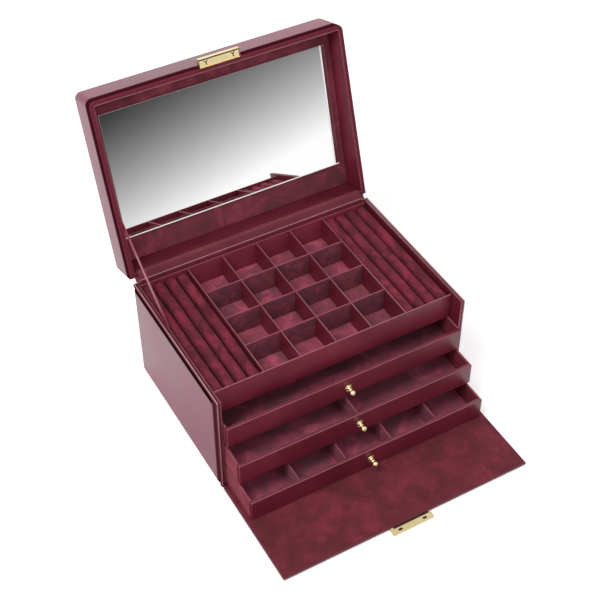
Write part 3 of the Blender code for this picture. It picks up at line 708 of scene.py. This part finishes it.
def finish_tray():
    # painted light: the tray's front, floor and dividers are lighter copies of their leather and suede, the
    # floor most
    paint("tray_front", leather("tray_front_leather", 1.25, [top_rim("tray_front")], coat=0.2))
    paint("tray_floor", suede("tray_floor_suede", scale=42.0, shade=2.1))
    for i in range(1, 6):
        node = "long_divider_%d" % i
        paint(node, leather(node + "_leather", 1.1, [top_rim(node)], coat=0.1, rim_tone=LONG_DIVIDER_HIGHLIGHT))
    for i in range(1, 4):
        node = "cross_divider_%d" % i
        paint(node, suede(node + "_suede", scale=50.0, rims=[top_rim(node)], shift=(i, 0.0, 0.0), shade=1.2))


# ---- ring rolls
ROLLS = 4
ROLL_NIP = 2.2 * MM
ROLL_BEND = 0.25 * MM
ROLL_END = 3.6 * MM  # how far the rounding reaches along each end
ROLL_RISE = 1.4 * MM  # the pile stands above the foam's solid
ROLL_FRONT_GAP = 0.3 * MM
ROLL_BACK_GAP = 0.2 * MM
ROLL_SIDES = 32
ROLL_ROWS = 90
END_ROWS = 8
END_BLUNT = 0.6  # under 1 makes the ends blunter than round
FLANK_BLUNT = 0.72  # and the flanks
ROLL_DEPTH = 1.4  # the hidden lower half against the upper
ROLL_STRETCH = (1.0, 0.6, 1.0)
BED_DEPTH = 1.5  # the bed's top below the foam solid's, in radii
BED_EDGE = 0.8 * MM


def roll_point(x, y, z, radius, reach, around):
    """A place on a roll, whose flanks run straight down; its skin is slightly uneven."""
    uneven = noise.noise(Vector((x * 40.0, y * 28.0, around * 0.6))) * ROLL_BEND
    r = (radius + uneven) * reach
    side = math.cos(around)
    rise = math.sin(around)
    flank = math.copysign(abs(side) ** FLANK_BLUNT, side)
    return Vector((x + r * flank, y, z + r * (rise if rise > 0.0 else rise * ROLL_DEPTH)))


def roll_stops(y_low, y_high):
    """Places along a roll, with the share of its radius that it has at each."""
    turns = [math.pi / 2 * i / END_ROWS for i in range(1, END_ROWS + 1)]
    run = y_high - y_low - 2 * ROLL_END
    near = [(y_low + ROLL_END * (1 - math.cos(a)), math.sin(a) ** END_BLUNT) for a in turns]
    middle = [(y_low + ROLL_END + run * i / ROLL_ROWS, 1.0) for i in range(1, ROLL_ROWS)]
    far = [(y_high - ROLL_END * (1 - math.cos(a)), math.sin(a) ** END_BLUNT) for a in reversed(turns)]
    return near + middle + far


def roll_shape(name, x, y_low, y_high, z, radius, material):
    """One suede-covered foam roll with rounded ends."""
    turn = [2 * math.pi * k / ROLL_SIDES for k in range(ROLL_SIDES)]
    bm = bmesh.new()
    rings = [[bm.verts.new(roll_point(x, y, z, radius, reach, a)) for a in turn]
             for y, reach in roll_stops(y_low, y_high)]
    bridge(bm, rings)
    for ring, y in ((rings[0], y_low), (rings[-1], y_high)):
        tip = bm.verts.new((x, y, z))
        for k in range(ROLL_SIDES):
            bm.faces.new((ring[k], ring[(k + 1) % ROLL_SIDES], tip))
    return piece_of(bm, name, material)


def make_roll(side, sign, i, low, high, pitch, radius):
    name = "%s_ring_roll_%d" % (side, i + 1)
    skin = suede(name + "_suede", ROLL_SUEDE, 70.0, shift=(0.7 * i, sign, 0.3 * i), sheen=0.04, swirl=0.5,
                 stretch=ROLL_STRETCH)
    x = low.x + (i + 0.5) * pitch
    z = high.z + ROLL_RISE - radius
    roll = roll_shape(name, x, low.y + ROLL_FRONT_GAP, high.y - ROLL_BACK_GAP, z, radius, skin)
    fix(roll, "case", "ring_roll_suede", side + "_ring_rolls")


def make_bed(side, low, high, radius):
    """Foam bed that shows between the rolls, coloured almost black as painted shade in the gaps."""
    skin = suede(side + "_bed_suede", BED_SHADE_SUEDE, sheen=0.0)
    top = high.z - BED_DEPTH * radius
    bed = soft_box(side + "_ring_bed", low, (high.x, high.y, top), skin, BED_EDGE)
    fix(bed, "case", "ring_roll_suede", side + "_ring_rolls")


def make_ring_rolls():
    for side, sign in (("left", -1), ("right", 1)):
        low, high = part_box(side + "_ring_rolls")
        pitch = (high.x - low.x) / ROLLS
        radius = (pitch - ROLL_NIP) / 2
        for i in range(ROLLS):
            make_roll(side, sign, i, low, high, pitch, radius)
        make_bed(side, low, high, radius)


# ---- drawers
KNOB_LIP = 0.55 * MM
KNOB_BACK = 0.1 * MM  # the foot's back ahead of the CAD knob's
KNOB_BALL = 0.71  # the ball's radius against the foot's
KNOB_NECK = 0.52  # and the neck's against the ball's
COLLAR_HALF = 0.25 * MM
COLLAR_FOOT = 0.45 * MM
FRONT_LINE = 1.2 * MM
FRONT_END_DYE = 0.4 * MM
FRONT_HIGHLIGHT = (146, 80, 94)
FRONT_END = (108, 38, 52)
FLOOR_SHADES = (1.25, 1.9, 2.3)  # painted light: one for each drawer's lining, from the top; lower drawers are painted lighter
DRAWER_DIVIDERS = ["drawer_2_divider_1"] + ["drawer_3_divider_%d" % k for k in range(1, 5)]


def knob_profile(length, foot_radius):
    """A foot disc with a rounded lip, a waisted neck with a ring, and a ball."""
    ball = foot_radius * KNOB_BALL
    neck = ball * KNOB_NECK
    collar = neck * 1.4
    ring = length - 2.25 * ball
    head = arc((0.0, length - ball), ball, 90, -54, 16)
    stem = [(neck, ring + COLLAR_FOOT), (collar, ring + COLLAR_HALF), (collar, ring - COLLAR_HALF),
            (neck, ring - COLLAR_FOOT)]
    flare = [(neck * 1.1, 2.3 * MM), (neck * 1.5, 1.3 * MM), (neck * 1.9, 0.8 * MM)]
    lip = arc((foot_radius - KNOB_LIP, KNOB_LIP + KNOB_BACK), KNOB_LIP, 150, -90, 10)
    return [(0.0, length)] + head[1:] + stem + flare + lip + [(0.0, KNOB_BACK)]


def make_knobs():
    metal = brass("knob_brass")
    for i in range(1, 4):
        node = "drawer_%d_knob" % i
        low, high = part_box(node)
        middle = (low + high) / 2
        place = Matrix.Translation((middle.x, high.y, middle.z)) @ Matrix.Rotation(math.pi / 2, 4, "X")
        profile = knob_profile(high.y - low.y, (high.x - low.x) / 2)
        knob = turned("drawer_%d_pull" % i, profile, place, metal)
        fix(knob, "drawer_%d" % i, "brass", node)


def finish_drawer_front(node):
    """A leather front with a painted highlight line along both of its top edges, and dull ends."""
    low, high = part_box(node)
    rims = [(UP, high.z, RIM_WIDTH, FORWARD, -low.y, FRONT_LINE),
            (UP, high.z, RIM_WIDTH, BACKWARD, high.y, FRONT_LINE)]
    ends = [(LEFT, -low.x, FRONT_END_DYE), (RIGHT, high.x, FRONT_END_DYE)]
    paint(node, leather(node + "_leather", 1.0, rims, ends, 0.3, 0.22, FRONT_HIGHLIGHT, dye_and_shade_tone=FRONT_END))


def finish_drawer_sides(name, i):
    for side in ("left", "right"):
        node = "%s_%s_side" % (name, side)
        paint(node, suede(node + "_suede", DRAWER_SIDE_SUEDE, 26.0, [top_rim(node)],
                          (0.4 * i, 0.0, 0.0), sheen=0.1))


def finish_drawers():
    for i, shade in enumerate(FLOOR_SHADES, 1):
        name = "drawer_%d" % i
        finish_drawer_front(name + "_front")
        finish_drawer_sides(name, i)
        back = name + "_back"
        paint(back, suede(back + "_suede", rims=[top_rim(back)], shift=(0.5 * i, 0.0, 0.0), shade=shade))
        lining = suede(name + "_floor_suede", scale=30.0, shift=(0.9 * i, 0.2, 0.0), shade=shade)
        paint(name + "_floor", lining)
    # painted light: the dividers' suede is a lighter copy
    for node in DRAWER_DIVIDERS:
        paint(node, suede(node + "_suede", scale=40.0, rims=[top_rim(node)], shade=1.6))


# ---- lid's leather shell
LID_CORNER = 7.5 * MM
LID_EDGE = 4.0 * MM
LID_GAP = 0.3 * MM  # between the shell and the frame inside it
LID_DROP = 0.25 * MM  # the rolled rim stands past the frame's edge
LID_SWELL = 0.15 * MM  # how far the padded walls swell
LID_CROWN = 0.1 * MM  # and how far the top does
LID_CROWN_START = 14.0 * MM
RIM_ROLL = 2.2 * MM
RIM_LAP = 0.9 * MM  # the rolled rim laps over the frame's edge
OUTLINE_STEP = 6.0 * MM
DENT_SIDE = 7.0 * MM  # how far the dent round the catch fades to each side
DENT_HEIGHT = 6.0 * MM
DENT_FADE = 6.0 * MM
DENT_DEEP = 1.5 * MM
DENT_CLEAR = 0.2 * MM  # between the catch and the dented leather
# painted shade on the lid's walls next to the rolled rim, and on the rim itself
WALL_SHADE_TONE = (68, 25, 36)
LID_RIM_SHADE = (108, 46, 58)


def lid_outline(half, front, back, inset):
    """Round the lid: square at the hinge, rounded at its two front corners; always as many points."""
    half -= inset
    front += inset
    back -= inset
    radius = max(LID_CORNER - inset, 0.4 * MM)
    side_steps = int((back - front + 2 * inset) / OUTLINE_STEP)
    front_steps = int(2 * (half + inset) / OUTLINE_STEP)
    side_run = back - front - radius
    points = [(-half, back - side_run * i / side_steps) for i in range(side_steps)]
    points += arc((-half + radius, front + radius), radius, 180, 270, 8)
    front_run = 2 * (half - radius)
    points += [(-half + radius + front_run * i / front_steps, front) for i in range(1, front_steps)]
    points += arc((half - radius, front + radius), radius, 270, 360, 8)
    points += [(half, front + radius + side_run * (i + 1) / side_steps) for i in range(side_steps)]
    points += [(half - 2 * half * i / front_steps, back) for i in range(1, front_steps)]
    return points


def catch_dent(point, half, front, depth):
    """The padded front sinks a little round the catch."""
    near = max(0.0, 1.0 - max(0.0, abs(point.x) - half) / DENT_SIDE)
    low = max(0.0, 1.0 - max(0.0, point.z - DENT_HEIGHT) / DENT_FADE)
    ahead = max(0.0, 1.0 - (point.y - front) / DENT_DEEP)
    soft = near * near * (3 - 2 * near)
    return point + Vector((0.0, depth * soft * low * ahead, 0.0))


def lid_profile(wall, rim, top):
    """Section of the shell as (inset, height): inside, rolled rim, swollen wall and rounded edge."""
    lap = wall + RIM_LAP
    inside = [(wall, top - wall), (wall, rim + 0.8 * MM), (lap, rim + 0.5 * MM)]
    turns = [math.pi / 2 * i / 12 for i in range(13)]
    rolled = [(lap * (1 - math.sin(a)), rim + RIM_ROLL * (1 - math.cos(a))) for a in turns]
    start = rim + RIM_ROLL
    run = top - LID_EDGE - start
    walls = [(-LID_SWELL * math.sin(math.pi * i / 6), start + run * i / 6) for i in range(1, 6)]
    edge = [(LID_EDGE - x, top - LID_EDGE + z) for x, z in arc((0.0, 0.0), LID_EDGE, 0, 90, 9)]
    return inside + rolled + walls + edge + [(LID_CROWN_START, top + LID_CROWN)]


def lid_skin(rim):
    """The shell's leather, with a dark band of painted shade next to its rolled rim, and a dull rim in a
    darker tone, also painted shade.
    """
    down = tuple(LID_DOWN)
    place = LID_DOWN.dot(IN_LID @ Vector((0.0, 0.0, rim)))
    painted_shade = (down, place - 13.0 * MM, place - 10.0 * MM, place - 1.3 * MM, place - 0.4 * MM)
    edge = (down, place - 1.2 * MM, place - 0.3 * MM, place + 1.0 * MM, place + 2.0 * MM)
    return leather("lid_leather", grooves=[(painted_shade, WALL_SHADE_TONE), (edge, LID_RIM_SHADE)], deep=OUTER_DEEP,
                   tone=OUTER_TONE)


def make_lid_cover():
    """Padded leather shell: a rolled rim, slightly swollen walls and a soft edge round the top."""
    low, high = lid_box("lid_cover")
    inner = lid_box("lid_left_wall")[0]
    catch = lid_box("lid_catch")[1]
    wall = inner.x - low.x - LID_GAP
    rim = inner.z - LID_DROP
    sink = catch.y - low.y + DENT_CLEAR
    bm = bmesh.new()
    rings = []
    for inset, height in lid_profile(wall, rim, high.z):
        outline = lid_outline(high.x, low.y, high.y, inset)
        points = [Vector((x, y, height)) for x, y in outline]
        if inset < wall:
            points = [catch_dent(point, catch.x, low.y, sink) for point in points]
        rings.append([bm.verts.new(IN_LID @ point) for point in points])
    bridge(bm, rings)
    bm.faces.new(rings[0])
    bm.faces.new(rings[-1])
    cover = crisp(piece_of(bm, "lid_leather", lid_skin(rim)), 50)
    fix(cover, "lid", "outer_leather", "lid_cover")


# ---- lid's frame, lining and mirror
LID_RIM = 0.9 * MM
FRONT_WALL_LINE = 0.8 * MM
SIDE_WALL_LINE = 0.6 * MM


def finish_lid_wall(side, shade, line, rim_tone=RIM_HIGHLIGHT):
    """A wall of the lid's frame, painted lighter or darker by its shade; its inner edge has a painted
    highlight line, given as a band, or none.
    """
    node = "lid_%s_wall" % side
    rims = [(tuple(LID_DOWN), farthest(node, LID_DOWN), LID_RIM) + line] if line else ()
    paint(node, leather(node + "_leather", shade, rims, coat=0.12, rim_tone=rim_tone))


def finish_lid_frame():
    front = (tuple(LID_BACKWARD), farthest("lid_front_wall", LID_BACKWARD), FRONT_WALL_LINE)
    # painted light and shade: the front and side walls are lighter copies, the back wall a darker one, and
    # the lining lighter
    finish_lid_wall("front", 1.1, front, PALE_HIGHLIGHT)
    finish_lid_wall("left", 1.1, (RIGHT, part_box("lid_left_wall")[1].x, SIDE_WALL_LINE))
    finish_lid_wall("right", 1.1, (LEFT, -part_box("lid_right_wall")[0].x, SIDE_WALL_LINE))
    finish_lid_wall("back", 0.8, None)
    paint("lid_lining", suede("lid_lining_suede", LINING_SUEDE, 22.0, shade=1.15))


def finish_mirror():
    """Finds the mirror's face, whose width and height place the ground lines."""
    mesh = frame["nodes"]["lid_mirror"].data
    largest = max(mesh.polygons, key=lambda face: (round(face.area, 6), -face.normal.y))
    facing = largest.normal if largest.normal.y < 0 else -largest.normal
    up = facing.cross(Vector(RIGHT)).normalized()
    if up.z < 0:
        up = -up
    heights = [up.dot(v.co) for v in mesh.vertices]
    across = [v.co.x for v in mesh.vertices]
    low = Vector((min(across), min(heights)))
    high = Vector((max(across), max(heights)))
    paint("lid_mirror", mirror_glass("mirror_glass", low, high, up))


# ---- lid's catch
CATCH_WALL = 0.8 * MM
CATCH_LIP = 1.3 * MM  # how far the raised edge stands above the face
CATCH_SET = 0.1 * MM  # how deep one piece is set in another
CATCH_DEPTH = 4.6 * MM
CATCH_LEAN = 0.9 * MM
CATCH_SHADOW = 1.1 * MM  # width of the painted shadow under the upper edge, a dark strip
HOOK_SPREAD = 16.0 * MM
HOOK_WIDTH = 0.8 * MM
HOOK_HEIGHT = 1.1 * MM
HOOK_FORKS = ((-2.2 * MM, -2.6 * MM), (2.2 * MM, -2.6 * MM), (0.9 * MM, 2.8 * MM))  # where its arms end


def bar(bm, start, end, width, low, high):
    """A flat bar between two places (x, y), from one depth to another, in the lid's frame."""
    along = (Vector(end) - Vector(start)).normalized()
    side = Vector((-along.y, along.x)) * width / 2
    corners = [Vector(start) - side, Vector(end) - side, Vector(end) + side, Vector(start) + side]
    prism(bm, [[bm.verts.new(IN_LID @ Vector((c.x, c.y, depth))) for c in corners] for depth in (low, high)])


def make_catch_block(low, high, face, middle):
    """A block with a thin raised edge round its face."""
    bm = bmesh.new()
    bar(bm, (low.x, middle), (high.x, middle), high.y - low.y, face, face + CATCH_DEPTH)
    inset = CATCH_WALL / 2
    for y in (low.y + inset, high.y - inset):
        bar(bm, (low.x, y), (high.x, y), CATCH_WALL, low.z, face + CATCH_SET)
    for x in (low.x + inset, high.x - inset):
        bar(bm, (x, low.y), (x, high.y), CATCH_WALL, low.z, face + CATCH_SET)
    block = soft_edges(piece_of(bm, "catch_block", brass("catch_brass"), False), 0.22 * MM, 2)
    fix(block, "lid", "brass", "lid_catch")


def make_catch_plate(low, high, face):
    """The bright face of the catch, a wedge that leans a little."""
    bm = bmesh.new()
    left = low.x + CATCH_WALL
    right = high.x - CATCH_WALL
    outer = low.y + CATCH_WALL
    inner = high.y - CATCH_WALL
    leaning = face - CATCH_LEAN
    sunk = face - 0.05 * MM
    spots = [(left, outer, leaning), (right, outer, leaning), (right, inner, sunk), (left, inner, sunk)]
    near = [bm.verts.new(IN_LID @ Vector(spot)) for spot in spots]
    far = [bm.verts.new(IN_LID @ Vector((x, y, face + CATCH_SET))) for x, y, depth in spots]
    prism(bm, [near, far])
    fix(piece_of(bm, "catch_plate", brass("catch_plate_brass"), False), "lid", "brass", "lid_catch")


def make_catch_shadow(low, high, face, dark):
    """Dark strip along the upper edge of the catch: a painted shadow."""
    bm = bmesh.new()
    y = low.y + CATCH_WALL + CATCH_SHADOW / 2
    top = face - CATCH_LEAN - CATCH_SET
    bar(bm, (low.x + CATCH_WALL, y), (high.x - CATCH_WALL, y), CATCH_SHADOW, top, face)
    fix(piece_of(bm, "catch_shadow", dark, False), "lid", "brass", "lid_catch")


def make_hook(name, x, y, face, dark):
    """A small forked hook that stands on the catch's face."""
    bm = bmesh.new()
    for dx, dy in HOOK_FORKS:
        bar(bm, (x, y), (x + dx, y + dy), HOOK_WIDTH, face - HOOK_HEIGHT, face)
    hook = soft_edges(piece_of(bm, name, dark, False), 0.12 * MM, 2)
    fix(hook, "lid", "brass", "lid_catch")


def make_catch():
    """Brass catch: a block with a raised edge, its bright face, a dark strip under its upper edge as painted
    shadow, and two hooks.
    """
    low, high = lid_box("lid_catch")
    face = low.z + CATCH_LIP
    middle = (low.y + high.y) / 2
    dark = dark_metal("hook_and_shadow_metal")
    make_catch_block(low, high, face, middle)
    make_catch_plate(low, high, face)
    make_catch_shadow(low, high, face, dark)
    make_hook("catch_left_hook", -HOOK_SPREAD, middle, face, dark)
    make_hook("catch_right_hook", HOOK_SPREAD, middle, face, dark)


# ---- leather hinges and strap
HINGE_GAP = 0.3 * MM
HINGE_THICK = 0.6 * MM
OUTER_HINGE_THICK = 0.7 * MM
HINGE_LAP = 4.0 * MM  # the inner strip's reach up the lid's back wall
CREASE_REACH = 1.5 * MM
# painted highlight along the fold, and painted light on the lid's part of the strip
CREASE_HIGHLIGHT = (224, 168, 182)
LIFTED_DEEP = (108, 46, 58)
LIFTED_TONE = (124, 56, 68)
STRAP_HALF = 3.4 * MM
STRAP_THICK = 0.9 * MM
STRAP_STEPS = 24


def smooth_path(points, steps):
    """A smooth line through the points."""
    padded = [points[0] * 2 - points[1]] + points + [points[-1] * 2 - points[-2]]
    line = []
    for a, b, c, d in zip(padded, padded[1:], padded[2:], padded[3:]):
        for i in range(steps):
            t = i / steps
            curve = (2 * a - 5 * b + 4 * c - d) * t * t + (3 * b - a - 3 * c + d) * t * t * t
            line.append(0.5 * (2 * b + (c - a) * t + curve))
    return line + [points[-1]]


def ribbon(name, line, half, thickness, material, across=Vector(RIGHT), columns=24):
    """A closed strip of leather along a line, with its width on both sides."""
    bm = bmesh.new()
    rings = []
    for i, point in enumerate(line):
        ahead = line[min(i + 1, len(line) - 1)] - line[max(i - 1, 0)]
        up = ahead.cross(across).normalized()
        ring = []
        for side in (1, -1):
            for k in range(columns + 1):
                aside = across * (half * (2 * k / columns - 1)) * side
                ring.append(bm.verts.new(point + aside + up * (thickness / 2 * side)))
        rings.append(ring)
    bridge(bm, rings)
    bm.faces.new(rings[0])
    bm.faces.new(rings[-1])
    return crisp(piece_of(bm, name, material), 50)


def join(piece, node):
    """The piece's placing is baked into its mesh, and it stands in place of a CAD node, which is hidden."""
    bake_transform(piece)
    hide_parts(node)


def in_lid(forward, depth):
    return IN_LID @ Vector((0.0, -forward, depth))


def in_case(y, z):
    return Vector((0.0, y, z))


def mark_crease(piece, crease):
    """Marks the points near the fold, for its painted highlight line."""
    layer = piece.data.attributes.new("crease", "FLOAT", "POINT")
    for vertex, value in zip(piece.data.vertices, layer.data):
        gap = Vector((vertex.co.y - crease.y, vertex.co.z - crease.z)).length
        value.value = max(0.0, 1.0 - gap / CREASE_REACH)


def hinge_leather(name):
    """Inner hinge leather, painted dark on the body as shade, with a painted highlight along the fold and
    painted lighter on the lid.
    """
    f = Finish(name)
    fold = f.node("Attribute")
    fold.attribute_name = "crease"
    clouds = f.noise(14.0, 5.0, 0.6, 0.6)
    colour = f.ramp(clouds, [(0.32, shaded(LEATHER_DEEP, 0.7)), (0.68, shaded(LEATHER_TONE, 0.7))])
    lighter = f.ramp(clouds, [(0.3, linear(*LIFTED_DEEP)), (0.7, linear(*LIFTED_TONE))])
    lifted = f.span(f.along(UP), LID_HINGE.z - 0.2 * MM, LID_HINGE.z + 1.5 * MM)
    line = f.span(fold.outputs["Fac"], 0.25, 0.75)
    patchiness = f.span(f.noise(90.0, 4.0), 0.2, 0.6, 0.7, 1.0)
    colour = f.mix(f.times(line, patchiness), f.mix(lifted, colour, lighter), linear(*CREASE_HIGHLIGHT))
    f.set(Base_Color=colour, Normal=f.bump(f.noise(260.0, 6.0, 0.62, 0.8), 0.22, 0.00012), Roughness=0.5)
    f.set(Specular_IOR_Level=0.25)
    return f.material


def make_inner_hinge():
    """Strip over the back panel's rim, across the fold and up the lid's back wall."""
    panel_low, panel_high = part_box("back_panel")
    back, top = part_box("back_cover")[1].yz
    off = HINGE_GAP + HINGE_THICK / 2
    wall = off - lid_box("lid_back_wall")[0].y
    crease = in_case(back + 0.3 * MM, top + off)
    points = [in_case(panel_low.y + 0.7 * MM, panel_high.z + off),
              in_case(panel_high.y - 0.2 * MM, panel_high.z + off),
              in_case(back - 1.6 * MM, top + off - 0.3 * MM), crease,
              in_lid(wall - 1.6 * MM, -0.6 * MM), in_lid(wall, 1.2 * MM), in_lid(wall, HINGE_LAP)]
    strip = ribbon("lid_inner_hinge_leather", smooth_path(points, 6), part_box("lid_hinge_inner")[1].x,
                   HINGE_THICK, hinge_leather("inner_hinge_leather"))
    mark_crease(strip, crease)
    join(strip, "lid_hinge_inner")


def make_outer_hinge():
    """Strip outside, from the top of the body's back cover to the lid's back."""
    back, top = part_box("back_cover")[1].yz
    off = HINGE_GAP + HINGE_THICK / 2
    lid_back = -lid_box("lid_cover")[1].y
    points = [in_case(back - 0.6 * MM, top + off), in_case(back + 1.0 * MM, top + off + 0.2 * MM),
              in_lid(lid_back + 0.8 * MM, -0.4 * MM), in_lid(lid_back + 2.2 * MM, -off)]
    strip = ribbon("lid_outer_hinge_leather", smooth_path(points, 4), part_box("lid_hinge_outer")[1].x,
                   OUTER_HINGE_THICK, leather("outer_hinge_leather", coat=0.1))
    join(strip, "lid_hinge_outer")


def make_strap():
    """Narrow leather strap from the body's left wall to the lid's, taut while the lid is open."""
    from_front = sorted(frame["nodes"]["lid_strap"].data.vertices, key=lambda v: v.co.y)
    count = len(from_front) // 2
    start = sum((v.co for v in from_front[:count]), Vector()) / count
    end = sum((v.co for v in from_front[count:]), Vector()) / count
    line = [start + (end - start) * i / STRAP_STEPS for i in range(STRAP_STEPS + 1)]
    across = (end - start).normalized().cross(Vector(RIGHT)).normalized()
    # painted light: a much lighter copy of the leather
    skin = leather("strap_leather", 1.7, coat=0.2)
    strap = ribbon("lid_strap_leather", line, STRAP_HALF, STRAP_THICK, skin, across, 6)
    soft_edges(strap, 0.2 * MM, 2)
    join(strap, "lid_strap")


# ---- flap
FLAP_PILE = 0.5 * MM  # suede above the panel's edge
FLAP_SEAM = 0.9 * MM
FLAP_SUNK = 0.9 * MM  # the lining's underside below the panel's top
FLAP_RIM = (96, 44, 54)
STRIP_STEPS = 8


def make_flap():
    """The flap's panel, and the suede lining let into it."""
    # painted shade: the panel's leather is a darker copy
    paint("flap_panel", leather("flap_leather", 0.8, coat=0.1))
    low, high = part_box("flap_panel")
    top = high.z + FLAP_PILE
    rims = [(UP, top, 3 * MM, FORWARD, -low.y - FLAP_SEAM, 0.6 * MM)]
    cloth = suede("flap_suede", FLAP_SUEDE, 34.0, rims, (0.0, 3.0, 0.0), 1.0, FLAP_RIM, swirl=0.6)
    corner = (low.x + FLAP_SEAM, low.y + FLAP_SEAM, high.z - FLAP_SUNK)
    lining = soft_box("flap_suede_lining", corner, (high.x - FLAP_SEAM, high.y - FLAP_SEAM, top), cloth,
                      0.35 * MM, 3)
    fix(lining, "flap", "suede", "flap_lining")


def make_flap_strip():
    """Leather strip that joins the flap to the body's underside."""
    low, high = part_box("flap_hinge_strip")
    level = (low.z + high.z) / 2
    line = [in_case(high.y - (high.y - low.y) * i / STRIP_STEPS, level) for i in range(STRIP_STEPS + 1)]
    skin = leather("flap_strip_leather", coat=0.1)
    strip = ribbon("flap_strip_leather", line, high.x, high.z - low.z, skin)
    join(strip, "flap_hinge_strip")


# ---- lock
# painted shade: the lock's brass is a darker copy
LOCK_SHADE = 0.72
SLOT_HALF = 2.2 * MM
SLOT_SPREAD = 15.0 * MM
SLOT_INSET = 2.0 * MM
SLOT_WIDTH = 2.6 * MM
SLOT_GAP = 0.1 * MM
SLOT_BOTTOM = 0.3 * MM
SLOT_SUNK = 0.7 * MM
LOCK_EDGE_SHADOW = 2.2 * MM  # painted shadow: a dark strip along the plate's edge by the flap
EDGE_SHADOW_LEFT = -21.0 * MM
EDGE_SHADOW_RIGHT = 22.5 * MM
EDGE_SHADOW_HALF = 0.4 * MM


def make_slot_back(name, x, low, high, dark):
    """A dark piece inside a slot: painted shade."""
    y = low.y + SLOT_INSET
    inside = soft_box(name, (x - SLOT_HALF, y + SLOT_GAP, SLOT_BOTTOM),
                      (x + SLOT_HALF, y + SLOT_WIDTH - SLOT_GAP, high.z - SLOT_SUNK), dark, 0.1 * MM, 2)
    fix(inside, "flap", "brass")


def make_lock():
    """The lock's plate and slide keep their shape; dark pieces inside its slots and along its edge by the
    flap are painted shade.
    """
    paint("lock_plate", brass("lock_brass", LOCK_SHADE))
    paint("lock_slide", brass("slide_brass", LOCK_SHADE))
    low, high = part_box("lock_plate")
    dark = dark_metal("slot_shadow")
    make_slot_back("lock_left_slot_back", -SLOT_SPREAD, low, high, dark)
    make_slot_back("lock_right_slot_back", SLOT_SPREAD, low, high, dark)
    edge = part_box("flap_panel")[0].y
    painted_shade = soft_box("lock_edge_shadow", (EDGE_SHADOW_LEFT, edge - LOCK_EDGE_SHADOW, high.z - EDGE_SHADOW_HALF),
                    (EDGE_SHADOW_RIGHT, edge - 0.1 * MM, high.z + EDGE_SHADOW_HALF), dark, 0.2 * MM, 2)
    fix(painted_shade, "flap", "brass")


make_camera()
make_world()
make_lights()
make_floor()
make_side("left", -1)
make_side("right", 1)
make_back()
finish_carcass()
finish_tray()
make_ring_rolls()
finish_drawers()
make_knobs()
make_lid_cover()
finish_lid_frame()
finish_mirror()
make_catch()
make_inner_hinge()
make_outer_hinge()
make_strap()
make_flap()
make_lock()
make_flap_strip()

bpy.context.scene.view_settings.view_transform = "Standard"
